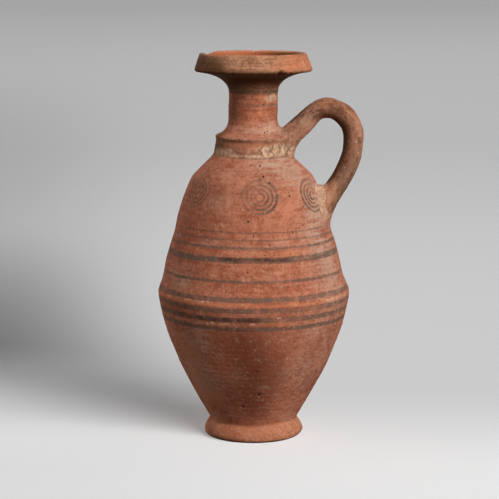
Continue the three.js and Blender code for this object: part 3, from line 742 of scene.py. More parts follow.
def turned_piece(name, outer, inner, columns, wear, poles=None, chipped=False, drawn_out=0.1):
    """Surface of revolution: each point is radius times (cos angle, sin angle) and a height, for every
    outline point and every angle. The outline runs up the outside and down the inside. The wall then
    moves in and out by the uneven shift, pits sink into the outside, and on the mouth and rim the edges
    are chipped. Streaks run round the wall, the longer the smaller drawn_out is."""
    outline = np.concatenate([outer, inner])
    is_outside = (np.arange(len(outline)) < len(outer)).astype(float)
    turns = np.linspace(-np.pi, np.pi, columns, endpoint=False)
    angle = np.repeat(turns[None, :], len(outline), axis=0)
    radius, height, outside = (np.repeat(row[:, None], columns, axis=1) for row in (*outline.T, is_outside))
    place = np.stack([radius * np.cos(angle), radius * np.sin(angle), height], axis=-1)
    depth, shade = pit_field(angle, radius, height)
    settled = np.clip(height / FOOT_SETTLE, 0, 1)
    moved = radius + settled * (uneven_shift(place, angle, height, wear) - wear.pit_scale * outside * depth)
    far_side = np.clip(-np.cos(angle - HANDLE_SIDE), 0, 1) ** 2
    height = height + wear.tilt * far_side * hump(height, NECK_Z, 6 * MM)
    if chipped:
        back, up = edge_loss(angle, radius, height)
        moved, height = moved - back, height + up
        height = np.minimum(height, lip_height(angle) + 0.12 * MM * unevenness(place, 2.2 * MM, 8))
    grid = np.stack([moved * np.cos(angle), moved * np.sin(angle), height], axis=-1)
    mesh, points = skin_mesh(name, grid, poles)
    fields = (angle, radius, height, outside, shade)
    angle, radius, height, outside, shade = (padded(field, len(points)) for field in fields)
    nearest, shown = circle_field(angle, radius, height)
    wear_marks = {kind: outside * marks(angle, radius, height, table) for kind, table in OUTER_MARKS.items()}
    # Rubbed slip and a painted highlight along the belly's ridge
    wear_marks["rust"] += outside * RIDGE_RUST * hump(height, BELLY_Z + 1.8 * MM, 1.3 * MM)
    keep_values(
        mesh,
        drawn=points * (drawn_out, drawn_out, 1.0),
        grime=marks(angle, radius, height, GRIME),
        pits=outside * shade,
        painted=outside * np.clip(1 - marks(angle, radius, height, FADED), 0, 1),
        circle=nearest / MM,
        ringed=shown,
        **wear_marks,
    )
    return mesh


# Handle


def direction(angle):
    """Unit vector at an angle above the level."""
    return np.array([math.cos(angle), math.sin(angle)])


def handle_line(form, handle):
    """Middle line of the coil in the XZ plane, from inside the collar to inside the shoulder."""
    up_way, low_way = direction(handle.upper_angle), direction(handle.lower_angle)
    upper = np.array([form.collar_top, NECK_Z - handle.upper_drop])
    lower = np.array([float(wall_radius(form, handle.lower_root)), handle.lower_root])
    apex = np.array([handle.reach - handle.bend_reach, NECK_Z + handle.rise])
    outermost = np.array([handle.reach, NECK_Z])
    out, down = np.array([1.0, 0.0]), np.array([0.0, -1.0])
    over, drop = out * QUARTER_PULL * handle.bend_reach, down * QUARTER_PULL * handle.rise
    line = np.concatenate([
        [upper - up_way * UPPER_INSIDE],
        cubic(upper, upper + up_way * UPPER_PULL, apex - out * APEX_PULL, apex),
        cubic(apex, apex + over, outermost - drop, outermost)[1:],
        cubic(outermost, outermost + down * OUTER_PULL, lower + low_way * LOWER_PULL, lower)[1:],
        [lower - low_way * LOWER_INSIDE],
    ])
    return evenly(line, handle.row_step)


class Coil:
    """The handle's coil as a surface: a point for each length along it and each angle round it."""

    def __init__(self, form, handle):
        self.form = form
        self.line = handle_line(form, handle)
        self.along = lengths_of(self.line)
        slope = np.gradient(self.line, axis=0)
        slope /= np.linalg.norm(slope, axis=1, keepdims=True)
        self.normal = np.column_stack([-slope[:, 1], slope[:, 0]])
        share = self.along / self.along[-1]
        swell = handle.swell * sum(size * hump(share, at, reach) for at, reach, size in COIL_SWELLS)
        self.half_thick, self.half_wide = handle.thickness / 2 + swell, handle.width / 2 + 0.5 * swell
        self.flare = handle.flare
        self.turns = np.linspace(0, -2 * np.pi, handle.columns, endpoint=False)

    def at(self, along, turn, grown=0.0):
        """Point = middle line + normal x half thickness x cos turn + Y x half width x sin turn, both
        grown if asked. The inner side flares on its last stretch before the shoulder."""
        along, turn = np.broadcast_arrays(along, turn)
        thick, wide, line_x, line_z, normal_x, normal_z = (
            np.interp(along, self.along, values)
            for values in (self.half_thick, self.half_wide, *self.line.T, *self.normal.T)
        )
        start = FLARE_START + FLARE_SLANT * np.cos(turn)
        near = np.clip((along / self.along[-1] - start) / FLARE_LENGTH, 0, 1)
        grown = grown + self.flare * near**2 * (3 - 2 * near) * (0.5 - 0.5 * np.cos(turn))
        out, across = (thick + grown) * np.cos(turn), (wide + grown) * np.sin(turn)
        return np.stack([line_x + normal_x * out, across, line_z + normal_z * out], axis=-1)

    def depth(self, points):
        """How deep each point lies inside the jug's outside."""
        return wall_radius(self.form, points[..., 2]) - np.hypot(points[..., 0], points[..., 1])

    def meets_wall(self, low_end, depth=0.0, grown=0.0):
        """Length along the coil, for each turn, at which one root is that deep in the wall."""
        along = np.linspace(0, self.along[-1] / 2, ROOT_STEPS)
        if low_end:
            along = self.along[-1] - along
        inside = self.depth(self.at(along[:, None], self.turns[None, :], grown)) > depth
        return along[np.argmin(inside, axis=0)]


def coil_piece(name, coil, wear):
    """Swept surface of the coil. Its ends follow the wall just inside it, and its skin is uneven."""
    first, last = coil.meets_wall(False, COIL_SUNK), coil.meets_wall(True, COIL_SUNK)
    share = np.linspace(0, 1, len(coil.line))[:, None]
    along = first[None, :] + (last - first)[None, :] * share
    turn = np.repeat(coil.turns[None, :], len(share), axis=0)
    grid = coil.at(along, turn)
    out = grid - coil.at(along, turn, -min(coil.half_thick.min(), coil.half_wide.min()) * 0.98)
    out /= np.linalg.norm(out, axis=-1, keepdims=True)
    shift = 2.2 * wear.lumps * unevenness(grid, 26 * MM, 21) + 1.5 * wear.grain * unevenness(grid, 6 * MM, 22)
    shift += 0.16 * MM * np.cos(5 * turn + along / (19 * MM)) * np.cos(along / (31 * MM))
    grid = grid + out * shift[..., None]
    mesh, points = skin_mesh(name, grid, [grid[0].mean(axis=0), grid[-1].mean(axis=0)])
    turn, along = padded(turn, len(points)), padded(along, len(points))
    length = along / coil.along[-1]
    outer, inner = np.clip(np.cos(turn), 0, 1), np.clip(-np.cos(turn), 0, 1)
    # The coil's foot: pale crust, and painted light where its inner side turns from the lamp.
    low = np.clip((211 * MM - points[:, 2]) / (16 * MM), 0, 1) * (length > 0.5)
    low = low * np.clip(0.8 + inner - outer, 0, 1)
    sides = {
        "round": np.ones_like(turn),
        "outer": outer,
        "inner": inner,
        "front": hump(turn, -0.9, 0.3),
        "spot": hump(turn, -0.9, 0.15),
        "open": (1 - inner) * (1 - 0.45 * low),
    }
    fields = {kind: weight * low for kind, weight in COIL_FOOT.items()}
    for kind, table in COIL_MARKS.items():
        for strength, side, sharpness, at, reach in table:
            fields[kind] = fields[kind] + strength * sides[side] ** sharpness * hump(length, at, reach)
    drawn = np.column_stack([COIL_ROUND * np.cos(turn), COIL_ROUND * np.sin(turn), COIL_DRAWN * along])
    keep_values(mesh, drawn=drawn, **fields)
    return mesh


def sunk(points, by):
    """The points moved towards the jug's axis."""
    share = 1 - by / np.hypot(points[:, 0], points[:, 1])
    return points * np.column_stack([share, share, np.ones_like(share)])


def pad_piece(name, coil, wear, low_end, spread, rise, lean):
    """Fillet of smeared clay round a root. Each rib is a quadratic curve from the coil's skin to the
    wall's skin, with its control point where the two meet, or nearer the middle of its ends on the coil's
    inner side. The ribs' far side runs back just under both skins, so the ring is closed. Spread and rise
    grow by lean on the inner side."""
    turns = coil.turns
    uneven = 1 + 0.12 * np.cos(3 * turns + 1) + 0.08 * np.cos(5 * turns)
    inner = np.clip(-np.cos(turns), 0, 1)
    wide = (spread + lean * inner) * uneven
    sign = -1 if low_end else 1
    corner_at = coil.meets_wall(low_end)
    foot_at = coil.meets_wall(low_end, 0.0, wide)
    top_at = corner_at + sign * (rise + lean * inner) * uneven
    corner, top = coil.at(corner_at, turns), coil.at(top_at, turns, -PAD_EDGE)
    foot = sunk(coil.at(foot_at, turns, wide), PAD_EDGE)
    steps = np.linspace(0, 1, PAD_STEPS)
    t = steps[:, None, None]
    control = corner + 0.5 * inner[:, None] * ((top + foot) / 2 - corner)
    ribs = (1 - t) ** 2 * top + 2 * t * (1 - t) * control + t**2 * foot
    under_foot = sunk(foot, 1.2 * MM)
    under_corner = sunk(coil.at(corner_at - sign * 1.5 * MM, turns, -2 * MM), 1.0 * MM)
    under_top = coil.at(top_at, turns, -1.6 * MM)
    grid = np.concatenate([ribs, under_foot[None], under_corner[None], under_top[None]])
    on_wall = np.r_[steps, 1, 1, 0]
    pressed = on_wall[:, None] * flat_side(np.arctan2(grid[..., 1], grid[..., 0]), grid[..., 2], wear)
    grid[..., :2] *= 1 - (pressed / np.hypot(grid[..., 0], grid[..., 1]))[..., None]
    lumpy = np.r_[np.sin(np.pi * steps), 0, 0, 0]
    grid = grid + 0.1 * MM * (lumpy[:, None] * unevenness(grid, 7 * MM, 31))[..., None]
    mesh, points = skin_mesh(name, grid)
    x, y, z = points.T
    place = np.arctan2(y, x), np.hypot(x, y), z
    near_coil = np.repeat(1 - on_wall, len(turns))
    between = 4 * near_coil * (1 - near_coil)
    keep_values(
        mesh,
        drawn=points * 0.5,
        olive=near_coil**2.2,
        dust=marks(*place, DUST) * (1 - 0.6 * near_coil) + 0.2 * between + 0.4 * near_coil,
        cream=marks(*place, CREAM) + (0.45 * near_coil if low_end else 0.0),
        grime=marks(*place, GRIME) * (1 - near_coil),
        rust=0.5 * near_coil,
        painted=np.ones(len(points)),
    )
    return mesh


# Materials


class Tree:
    """Node tree of a material or a world. Each step returns the socket of its result."""

    def __init__(self, owner):
        owner.use_nodes = True
        self.owner = owner
        self.nodes, self.links = owner.node_tree.nodes, owner.node_tree.links
        self.place = self.nodes.new("ShaderNodeTexCoord").outputs["Object"]

    @property
    def shader(self):
        """The node of the surface or of the sky."""
        return next(node for node in self.nodes if node.type in {"BSDF_PRINCIPLED", "BACKGROUND"})

    def feed(self, socket, value):
        """Links a socket to an input, or sets the input to a number or a colour."""
        if isinstance(value, bpy.types.NodeSocket):
            self.links.new(value, socket)
        elif hasattr(value, "__len__"):
            opaque = len(value) == 3 and len(socket.default_value) == 4
            socket.default_value = (*value, 1.0) if opaque else value
        else:
            socket.default_value = value

    def split(self, vector):
        """The three parts of a vector."""
        node = self.nodes.new("ShaderNodeSeparateXYZ")
        self.feed(node.inputs[0], vector)
        return node.outputs

    def seen(self):
        """1 on rays from the camera, straight or by way of a mirror or glass, and 0 on all others."""
        path = self.nodes.new("ShaderNodeLightPath").outputs
        return self.strongest(path["Is Camera Ray"], path["Is Glossy Ray"], path["Is Transmission Ray"])

    def math(self, operation, a, b=0.0):
        """One step of arithmetic."""
        node = self.nodes.new("ShaderNodeMath")
        node.operation = operation
        self.feed(node.inputs[0], a)
        self.feed(node.inputs[1], b)
        return node.outputs[0]

    def product(self, *factors):
        """All the factors multiplied."""
        return reduce(lambda a, b: self.math("MULTIPLY", a, b), factors)

    def strongest(self, *values):
        """The largest of the values."""
        return reduce(lambda a, b: self.math("MAXIMUM", a, b), values)

    def total(self, *terms):
        """Weighted sum of (socket, weight) pairs."""
        return reduce(lambda a, b: self.math("ADD", a, b), [self.product(*term) for term in terms])

    def ramp(self, value, low, high, to_low=0.0, to_high=1.0):
        """Smooth step of a value from low to high."""
        node = self.nodes.new("ShaderNodeMapRange")
        node.interpolation_type = "SMOOTHSTEP"
        names = ("Value", "From Min", "From Max", "To Min", "To Max")
        for name, given in zip(names, (value, low, high, to_low, to_high)):
            self.feed(node.inputs[name], given)
        return node.outputs["Result"]

    def mix(self, factor, a, b):
        """Colour a, with the share factor of colour b."""
        node = self.nodes.new("ShaderNodeMix")
        node.data_type = "RGBA"
        for number, given in ((0, factor), (6, a), (7, b)):
            self.feed(node.inputs[number], given)
        return node.outputs[2]

    def value(self, name, output="Fac"):
        """A field that is kept on the piece."""
        node = self.nodes.new("ShaderNodeAttribute")
        node.attribute_name = name
        return node.outputs[output]

    def noise(self, place, size, detail=3.0, roughness=0.55):
        """Soft noise with patches about as large as size."""
        node = self.nodes.new("ShaderNodeTexNoise")
        given = {"Vector": place, "Scale": 1.0 / size, "Detail": detail, "Roughness": roughness}
        for name, value in given.items():
            self.feed(node.inputs[name], value)
        return node.outputs["Fac"]

    def specks(self, size, radius, share):
        """Round specks: cells of a size, and a speck of a radius (in cells) in that share of them."""
        node = self.nodes.new("ShaderNodeTexVoronoi")
        self.feed(node.inputs["Vector"], self.place)
        self.feed(node.inputs["Scale"], 1.0 / size)
        chosen = self.nodes.new("ShaderNodeSeparateColor")
        self.feed(chosen.inputs[0], node.outputs["Color"])
        wide = self.product(self.ramp(chosen.outputs[0], 1 - share, 1.0), radius)
        return self.ramp(self.math("SUBTRACT", node.outputs["Distance"], wide), 0.02, -0.06)

    def stripes(self, height, bands, soft=0.35):
        """Level bands from a table of height, width and strength, in millimetres."""
        layers = []
        for at, width, strength in bands:
            away = self.math("ABSOLUTE", self.math("SUBTRACT", height, at))
            layers.append(self.ramp(away, width / 2 + soft, max(width / 2 - soft, 0.0), 0.0, strength))
        return self.strongest(*layers)


class Clay(Tree):
    """Matt fired clay, in tones, stains, and painted light and shade that noises and the piece's own fields
    lay down.
    """

    def __init__(self, name, colours):
        super().__init__(bpy.data.materials.new(name))
        self.colours = colours
        self.noises = {
            "cloud": self.noise(self.place, 34 * MM, 3),
            "mottle": self.noise(self.place, 8 * MM, 5, 0.6),
            "grain": self.noise(self.place, 1.7 * MM, 3, 0.7),
            "dots": self.noise(self.place, 3.2 * MM, 4, 0.75),
            "streak": self.noise(self.value("drawn", "Vector"), 2.2 * MM, 4, 0.65),
        }

    def sum_of(self, **weights):
        """Weighted sum of the noises and of the piece's own fields, by their names."""
        named = {name: self.noises[name] if name in self.noises else self.value(name) for name in weights}
        return self.total(*((named[name], weight) for name, weight in weights.items()))

    def sway(self, noise):
        """A noise less its middle, so that it pulls both ways."""
        return self.math("SUBTRACT", self.noises[noise], 0.5)

    def stain(self, colour, tone, low, high, most, **weights):
        """The colour under up to the share most of a tone, as the weighted sum runs from low to high."""
        return self.mix(self.ramp(self.sum_of(**weights), low, high, 0.0, most), colour, tone)

    def tones(self, deep, light, streaky, lines, blend):
        """Two tones mixed by the noises, the handle's tones near the coil, and dark lines if asked."""
        weights = {"cloud": 0.8, "mottle": 0.9, "streak": 4 * streaky, "grain": 0.9, "dots": 0.5}
        tone, middle, colours = self.sum_of(**weights), sum(weights.values()) / 2, self.colours
        colour = self.mix(self.ramp(tone, middle - blend, middle + blend), deep, light)
        near_coil = self.ramp(tone, middle - COIL_BLEND, middle + COIL_BLEND)
        coiled = self.mix(near_coil, colours.olive_deep, colours.olive_light)
        colour = self.mix(self.value("olive"), colour, coiled)
        return self.stain(colour, colours.grime, 0.48, 0.34, lines, streak=1.0) if lines else colour

    def bloomed(self, colour):
        """The colour with rubbed and dark slip, fine dots and dust, which also carry a painted highlight on
        the belly's ridge, painted shade on the lower belly and painted light on shaded places.
        """
        colours = self.colours
        colour = self.stain(colour, colours.rust, 0.95, 1.85, 0.9, rust=0.9, mottle=0.7, streak=0.5, dots=0.6)
        dark = {"deep": 0.9, "mottle": 0.6, "cloud": 0.3, "streak": 0.4, "grain": 0.3}
        colour = self.stain(colour, colours.deep, 0.85, 1.7, 0.95, **dark)
        colour = self.stain(colour, colours.dust, 0.54, 0.72, 0.5, dots=1.0)
        colour = self.stain(colour, colours.grime, 0.43, 0.28, 0.5, grain=1.0)
        speckle = self.ramp(self.sum_of(mottle=0.4, dots=0.8, grain=0.5, streak=1.0), 1.05, 1.7, 0.1, 1.0)
        dust = self.math("MINIMUM", self.product(self.value("dust"), speckle), 0.8)
        return self.mix(dust, colour, colours.dust)

    def band_strokes(self, bands):
        """Level bands that sway a little."""
        height, sway = self.split(self.place)[2], self.noise(self.place, 50 * MM, 1)
        grain, dots = self.noises["grain"], self.noises["dots"]
        height = self.total((height, 1 / MM), (sway, 0.8), (grain, 0.9), (dots, 1.4))
        return self.stripes(self.math("SUBTRACT", height, 1.55), bands)

    def circle_strokes(self):
        """Rings round the nearest centre, as strong as their circle and fainter in clouds."""
        away = self.total((self.value("circle"), 1.0), (self.sway("mottle"), 0.6))
        cloudy = self.ramp(self.noises["cloud"], 0.3, 0.56, 0.8, 1.0)
        return self.product(self.stripes(away, CIRCLE_RINGS), self.value("ringed"), cloudy)

    def lattice_strokes(self, pale):
        """Crossed slanting strokes on the collar, stronger on the pale slip."""
        x, y, z = self.split(self.place)
        turn = self.product(self.math("ARCTAN2", y, x), LATTICE_CELLS / (2 * math.pi))
        rise = self.product(self.math("SUBTRACT", z, COLLAR_Z), 1 / LATTICE_HEIGHT)
        layers = []
        for slant in (1.0, -1.0):
            along = self.math("ADD", self.product(rise, slant), 2.0 * LATTICE_CELLS)
            cell = self.math("FRACT", self.math("ADD", turn, along))
            away = self.math("ABSOLUTE", self.math("SUBTRACT", cell, 0.5))
            away = self.total((away, 1.0), (self.sway("dots"), 0.35), (self.sway("mottle"), 0.45))
            layers.append(self.ramp(away, 0.15, 0.02))
        within = self.product(self.ramp(rise, 0.08, 0.14), self.ramp(rise, 0.86, 0.78))
        return self.product(self.strongest(*layers), within, self.ramp(pale, 0.0, 0.6, 0.15, 0.66))

    def painted(self, colour, layers):
        """The colour under dark paint, worn away by the noises and darker where it is thick."""
        worn = self.ramp(self.sum_of(dots=1.0, streak=0.6, mottle=1.0), 1.64, 1.14, 0.35, 1.0)
        paint = self.product(self.strongest(*layers), worn, self.value("painted"))
        thick = self.ramp(self.sum_of(mottle=1.0, cloud=0.6, deep=0.4), 0.8, 1.05, 0.0, 0.9)
        return self.mix(paint, colour, self.mix(thick, self.colours.paint, self.colours.soot))

    def weathered(self, colour):
        """The colour with grime and painted shade, bared clay, pale and dark specks, and painted shade in the
        pits.
        """
        colours = self.colours
        colour = self.stain(colour, colours.grime, 0.8, 1.6, 0.92, grime=0.8, mottle=0.7, streak=0.6)
        bared = {"chafe": 0.7, "dots": 1.2, "grain": 1.0, "mottle": 0.3}
        colour = self.stain(colour, colours.fresh, 1.65, 1.95, 0.85, **bared)
        colour = self.mix(self.product(self.specks(2.9 * MM, 0.2, 0.3), 0.55), colour, colours.fresh)
        colour = self.mix(self.product(self.specks(5.0 * MM, 0.12, 0.25), 0.75), colour, colours.pit)
        hollow = self.total((self.value("pits"), 1.0), (self.sway("dots"), 0.9))
        return self.mix(self.ramp(hollow, 0.3, 0.75), colour, colours.pit)

    def surface(self, colour, rough):
        """Gives the shader its colour, its mottled roughness and its fine bumps."""
        inputs = self.shader.inputs
        self.feed(inputs["Base Color"], colour)
        self.feed(inputs["Roughness"], self.ramp(self.noises["mottle"], 0.3, 0.7, rough - 0.07, rough + 0.07))
        self.feed(inputs["Specular IOR Level"], 0.05)
        bump = self.nodes.new("ShaderNodeBump")
        self.feed(bump.inputs["Strength"], 0.6)
        self.feed(bump.inputs["Distance"], 0.35 * MM)
        self.feed(bump.inputs["Height"], self.sum_of(grain=0.5, streak=0.3, dots=0.6, mottle=0.4))
        self.feed(inputs["Normal"], bump.outputs[0])


def clay_material(
    name, deep, light, colours, bands=(), circles=False, lattice=False,
    streaky=0.2, lines=0.0, rough=0.82, blend=0.31,
):
    """Clay in a deep and a light tone, then bloom, pale slip, paint and wear, in that order. Bloom and wear
    also carry painted light and shade.
    """
    clay = Clay(name, colours)
    colour = clay.bloomed(clay.tones(deep, light, streaky, lines, blend))
    pale = clay.ramp(clay.sum_of(cream=0.9, mottle=1.0, dots=1.1, streak=0.8), 1.75, 2.65, 0.0, 0.84)
    cream = clay.mix(clay.ramp(clay.noises["dots"], 0.36, 0.62), colours.cream_deep, colours.cream_light)
    colour = clay.mix(pale, colour, cream)
    layers = [clay.band_strokes(bands)] if bands else []
    layers += [clay.circle_strokes()] if circles else []
    layers += [clay.lattice_strokes(pale)] if lattice else []
    if layers:
        colour = clay.painted(colour, layers)
    clay.surface(clay.weathered(colour), rough)
    return clay.owner


# Operators


def settings_of(context):
    """Form, wear and colours, as set in the sidebar."""
    scene = context.scene
    return scene.jug_form, scene.jug_wear, scene.jug_colours


class JUG_OT_foot(Operator):
    """Turns the foot, a disc of bare clay with a rounded edge"""

    bl_idname = "jug.foot"
    bl_label = "Foot"

    def execute(self, context):
        form, wear, colours = settings_of(context)
        outer = outer_outline(form)
        base = np.linspace(AXIS_GAP, form.foot_base * 0.97, BASE_STEPS)
        base = np.column_stack([base, np.zeros(BASE_STEPS)])
        side = outer[np.argmax(outer[:, 0] > form.foot_base * 0.985):]
        side = stretch(side, END_GAP, WAIST_Z, form.row_step)
        top = np.array([(form.waist * 0.5, WAIST_Z), (AXIS_GAP, WAIST_Z)])
        poles = [(0, 0, 0), (0, 0, WAIST_Z)]
        mesh = turned_piece("foot_skin", np.concatenate([base, side]), top, form.columns, wear, poles)
        tones = colours.clay_deep, colours.clay_light
        material = clay_material("bare_clay", *tones, colours, streaky=0.12, rough=0.86)
        add_piece("jug_foot", mesh, material, "foot")
        return {"FINISHED"}


class JUG_OT_belly(Operator):
    """Turns the two halves of the belly, with painted bands, circles and pits"""

    bl_idname = "jug.belly"
    bl_label = "Belly"

    def execute(self, context):
        form, wear, colours = settings_of(context)
        outer, inner = outer_outline(form), inner_outline(form)
        tones, bands = (colours.slip_deep, colours.slip_light), BODY_BANDS + SHOULDER_BANDS
        material = clay_material("red_slip", *tones, colours, bands, circles=True)
        floor = WAIST_Z + form.floor
        low = np.concatenate([[(AXIS_GAP, WAIST_Z)], stretch(outer, WAIST_Z, BELLY_Z, form.row_step)])
        bowl = stretch(inner, floor + 0.5 * MM, BELLY_Z, 4 * form.row_step)
        bowl = np.concatenate([bowl, [(AXIS_GAP, floor)]])
        poles = [(0, 0, WAIST_Z), (0, 0, floor)]
        mesh = turned_piece("lower_body_skin", low, bowl, form.columns, wear, poles, drawn_out=0.4)
        add_piece("jug_lower_body", mesh, material, "lower_body")
        high = stretch(outer, BELLY_Z, COLLAR_Z, form.row_step)
        cave = stretch(inner, BELLY_Z, COLLAR_Z, 4 * form.row_step)
        mesh = turned_piece("upper_body_skin", high, cave, form.columns, wear)
        add_piece("jug_upper_body", mesh, material, "upper_body")
        return {"FINISHED"}


class JUG_OT_collar(Operator):
    """Turns the collar, with its pale slip and painted lattice"""

    bl_idname = "jug.collar"
    bl_label = "Collar"

    def execute(self, context):
        form, wear, colours = settings_of(context)
        outer = stretch(outer_outline(form), COLLAR_Z, NECK_Z, 0.6 * form.row_step)
        inner = stretch(inner_outline(form), COLLAR_Z, NECK_Z, 4 * form.row_step)
        mesh = turned_piece("collar_skin", outer, inner, form.columns, wear)
        tones = colours.brown_deep, colours.brown_light
        material = clay_material("pale_slip", *tones, colours, SHOULDER_BANDS, lattice=True, rough=0.86)
        add_piece("jug_collar", mesh, material, "collar")
        return {"FINISHED"}


class JUG_OT_neck(Operator):
    """Turns the neck with its spread foot and two painted bands"""

    bl_idname = "jug.neck"
    bl_label = "Neck"

    def execute(self, context):
        form, wear, colours = settings_of(context)
        outer = stretch(outer_outline(form), NECK_Z, MOUTH_Z, 0.8 * form.row_step)
        inner = stretch(inner_outline(form), NECK_Z, MOUTH_Z, 3 * form.row_step)
        mesh = turned_piece("neck_skin", outer, inner, form.columns * 3 // 4, wear)
        tones = colours.slip_deep, colours.slip_light
        material = clay_material("neck_slip", *tones, colours, NECK_BANDS, streaky=0.28)
        add_piece("jug_neck", mesh, material, "neck")
        return {"FINISHED"}


class JUG_OT_mouth(Operator):
    """Turns the dish of the mouth and its rim, with a chipped lip and edge"""

    bl_idname = "jug.mouth"
    bl_label = "Mouth and rim"

    def execute(self, context):
        form, wear, colours = settings_of(context)
        outer, inner = outer_outline(form), inner_outline(form)
        tones, joint, top = (colours.tan_deep, colours.tan_light), RIM_Z + DISH_JOINT, TOP_Z - END_GAP
        material = clay_material("worn_slip", *tones, colours, NECK_BANDS[:1], streaky=0.34)
        under = stretch(outer, MOUTH_Z, RIM_Z, 0.8 * form.row_step)
        funnel = stretch(inner, MOUTH_Z, joint, form.row_step)
        dish = turned_piece("mouth_skin", under, funnel, form.columns, wear, chipped=True)
        add_piece("jug_mouth", dish, material, "mouth")
        fine = 0.5 * form.row_step
        lip = np.concatenate([stretch(outer, RIM_Z, top, fine), stretch(inner, joint, top, fine)])
        band = turned_piece("rim_skin", lip, lip[:0], form.columns, wear, chipped=True)
        add_piece("jug_rim", band, material, "rim")
        return {"FINISHED"}


class JUG_OT_handle(Operator):
    """Sweeps the handle's coil from the collar to the shoulder"""

    bl_idname = "jug.handle"
    bl_label = "Handle"

    def execute(self, context):
        form, wear, colours = settings_of(context)
        mesh = coil_piece("handle_skin", Coil(form, context.scene.jug_handle), wear)
        tones = colours.olive_deep, colours.olive_light
        material = clay_material("handle_slip", *tones, colours, streaky=0.3, lines=0.18, blend=0.28)
        add_piece("jug_handle", mesh, material, "handle")
        return {"FINISHED"}


class JUG_OT_handle_pads(Operator):
    """Smears the clay round the handle's two roots"""

    bl_idname = "jug.handle_pads"
    bl_label = "Handle pads"

    def execute(self, context):
        form, wear, colours = settings_of(context)
        coil = Coil(form, context.scene.jug_handle)
        upper = pad_piece("upper_pad_skin", coil, wear, False, 4.4 * MM, 7.8 * MM, 2.8 * MM)
        tones = colours.brown_deep, colours.brown_light
        brown = clay_material("upper_pad_slip", *tones, colours, lattice=True)
        add_piece("jug_upper_handle_pad", upper, brown, "upper_handle_pad")
        lower = pad_piece("lower_pad_skin", coil, wear, True, 5 * MM, 7 * MM, 1.5 * MM)
        pale = clay_material("lower_pad_slip", colours.slip_deep, colours.slip_light, colours)
        add_piece("jug_lower_handle_pad", lower, pale, "lower_handle_pad")
        return {"FINISHED"}


def toward(turn, rise):
    """Unit vector from the jug to a lamp or the camera, by its turn from the front and its rise."""
    return Vector((math.sin(turn) * math.cos(rise), -math.cos(turn) * math.cos(rise), math.sin(rise)))


def aimed(scene, name, data, place, back):
    """A lamp or camera at a place, looking the opposite way to back."""
    holder = bpy.data.objects.new(name, data)
    holder.location = place
    holder.rotation_mode = "QUATERNION"
    holder.rotation_quaternion = (-back).to_track_quat("-Z", "Y")
    scene.collection.objects.link(holder)
    return holder


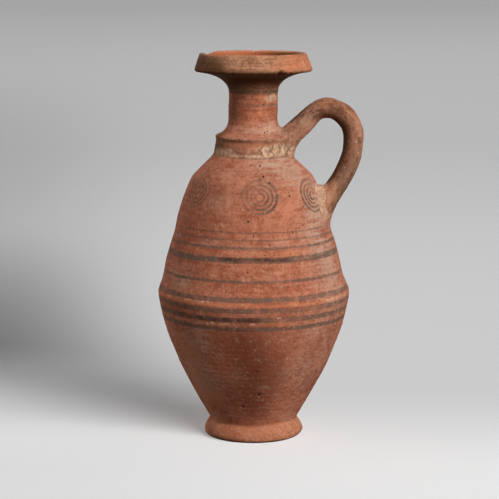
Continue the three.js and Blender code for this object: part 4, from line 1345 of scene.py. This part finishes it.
class JUG_OT_stage(Operator):
    """Sets the floor, the soft studio light and the camera"""

    bl_idname = "jug.stage"
    bl_label = "Stage"

    def execute(self, context):
        scene, stage = context.scene, context.scene.jug_stage
        scene.view_settings.view_transform = "Standard"
        self.light(scene, stage, self.floor(scene, stage))
        self.camera(scene, stage)
        return {"FINISHED"}

    def floor(self, scene, stage):
        """Flat sheet far larger than the view. The camera sees its tone, with painted light falloff and a
        painted shadow, and it bounces little light.
        """
        mesh = bpy.data.meshes.new("floor")
        mesh.from_pydata([(-20, -20, 0), (20, -20, 0), (20, 24, 0), (-20, 24, 0)], [], [(0, 1, 2, 3)])
        tree = Tree(bpy.data.materials.new("floor_paper"))
        tone, seen, inputs = self.floor_tone(tree, stage), tree.seen(), tree.shader.inputs
        tree.feed(inputs["Base Color"], tree.mix(seen, FLOOR_BOUNCE, tone))
        tree.feed(inputs["Emission Color"], tone)
        tree.feed(inputs["Emission Strength"], tree.product(seen, 1 - stage.sweep))
        tree.feed(inputs["Roughness"], 0.95)
        tree.feed(inputs["Specular IOR Level"], 0.0)
        mesh.materials.append(tree.owner)
        floor = bpy.data.objects.new("floor", mesh)
        scene.collection.objects.link(floor)
        return floor

    def floor_tone(self, tree, stage):
        """Painted light falloff: paler in front of the jug and darker behind. Painted shadow: dimmed at the
        left, most just behind it, and a little at the front left.
        """
        x, y, _ = tree.split(tree.place)
        ahead, across = math.cos(stage.azimuth), math.sin(stage.azimuth)
        away = tree.total((y, ahead), (x, -across))
        aside = tree.total((x, ahead), (y, across))
        near = tree.ramp(aside, -1.8, -0.6)
        aside = tree.math("DIVIDE", aside, tree.strongest(tree.math("ADD", away, stage.distance), 0.5))
        tone = tree.mix(tree.ramp(away, -0.14, 0.15), stage.floor_front, stage.floor_near)
        tone = tree.mix(tree.ramp(away, 0.2, 2.4), tone, stage.floor_back)
        tone = tree.mix(tree.ramp(away, 2.0, 13.0), tone, stage.floor_far)
        # Painted shadow of the jug, deepest just behind it at the left.
        behind = tree.product(tree.ramp(away, 0.1, 0.34), tree.ramp(away, 0.35, 1.2, 1.0, 0.36))
        behind = tree.product(behind, tree.ramp(away, 1.2, 5.0, 1.0, 0.2))
        dim = tree.product(tree.ramp(aside, -0.03, -0.15, 0.0, 0.6), near, behind)
        # Painted shade at the front left of the floor.
        front = tree.product(tree.ramp(aside, 0.12, -0.16, 0.0, 0.11), tree.ramp(away, 0.0, -0.12))
        return tree.mix(tree.strongest(dim, front), tone, (0, 0, 0))

    def light(self, scene, stage, floor):
        """One large soft lamp at the right, weak ones in front, at the left and behind, and a little
        light from all round. The floor has a lamp of its own, low at the right, for the long shadow. The
        sky shows the floor's far tones."""
        on_floor, off_floor = bpy.data.collections.new("on_floor"), bpy.data.collections.new("off_floor")
        on_floor.objects.link(floor)
        off_floor.objects.link(floor)
        off_floor.collection_objects[0].light_linking.link_state = "EXCLUDE"
        sweep = stage.sweep / math.sin(math.radians(SWEEP_RISE))
        for name, turn, rise, spread, level, lit in (
            ("key", 42, 30, 20, stage.key, off_floor),
            ("front", -5, 35, 60, stage.front, off_floor),
            ("side", -120, 8, 60, stage.side, off_floor),
            ("back", 165, 25, 50, stage.back, off_floor),
            ("sweep", 40, SWEEP_RISE, 46, sweep, on_floor),
        ):
            back = toward(stage.azimuth + math.radians(turn), math.radians(rise))
            lamp = bpy.data.lights.new(name, "SUN")
            lamp.angle, lamp.energy = math.radians(spread), math.pi * level
            aimed(scene, name, lamp, back, back).light_linking.receiver_collection = lit
        tree = Tree(bpy.data.worlds.new("studio"))
        x, y, _ = tree.split(tree.place)
        ahead = tree.total((y, math.cos(stage.azimuth)), (x, -math.sin(stage.azimuth)))
        backdrop = tree.mix(tree.ramp(ahead, -0.7, 0.7), stage.floor_front, stage.floor_far)
        tree.feed(tree.shader.inputs["Color"], tree.mix(tree.seen(), (stage.sky,) * 3, backdrop))
        scene.world = tree.owner

    def camera(self, scene, stage):
        """Camera at the photograph's viewing angle."""
        back = toward(stage.azimuth, stage.pitch)
        right = Vector((math.cos(stage.azimuth), math.sin(stage.azimuth), 0))
        lens = bpy.data.cameras.new("camera")
        lens.lens, lens.sensor_width = stage.lens, SENSOR_WIDTH
        place = Vector((0, 0, stage.target)) + back * stage.distance - right * stage.aside
        scene.camera = aimed(scene, "camera", lens, place, back)


class JUG_PT_panel(Panel):
    """Lists the jug's pieces and settings"""

    bl_idname = "JUG_PT_panel"
    bl_label = "Terracotta jug"
    bl_space_type = "VIEW_3D"
    bl_region_type = "UI"
    bl_category = "Jug"

    def draw(self, context):
        column = self.layout.column()
        for operator in OPERATORS:
            column.operator(operator.bl_idname)
        for name, group in GROUPS.items():
            settings = getattr(context.scene, name)
            column.label(text=group.__doc__)
            for prop in group.__annotations__:
                column.prop(settings, prop)


GROUPS = {
    "jug_form": JugForm,
    "jug_handle": JugHandle,
    "jug_wear": JugWear,
    "jug_colours": JugColours,
    "jug_stage": JugStage,
}
OPERATORS = (
    JUG_OT_foot,
    JUG_OT_belly,
    JUG_OT_collar,
    JUG_OT_neck,
    JUG_OT_mouth,
    JUG_OT_handle,
    JUG_OT_handle_pads,
    JUG_OT_stage,
)


def register():
    for item in (*GROUPS.values(), *OPERATORS, JUG_PT_panel):
        bpy.utils.register_class(item)
    for name, group in GROUPS.items():
        setattr(bpy.types.Scene, name, PointerProperty(type=group))


def unregister():
    for name in GROUPS:
        delattr(bpy.types.Scene, name)
    for item in (JUG_PT_panel, *OPERATORS, *GROUPS.values()):
        bpy.utils.unregister_class(item)


def main():
    register()
    bpy.ops.jug.foot()
    bpy.ops.jug.belly()
    bpy.ops.jug.collar()
    bpy.ops.jug.neck()
    bpy.ops.jug.mouth()
    bpy.ops.jug.handle()
    bpy.ops.jug.handle_pads()
    bpy.ops.jug.stage()


if __name__ == "__main__":
    main()
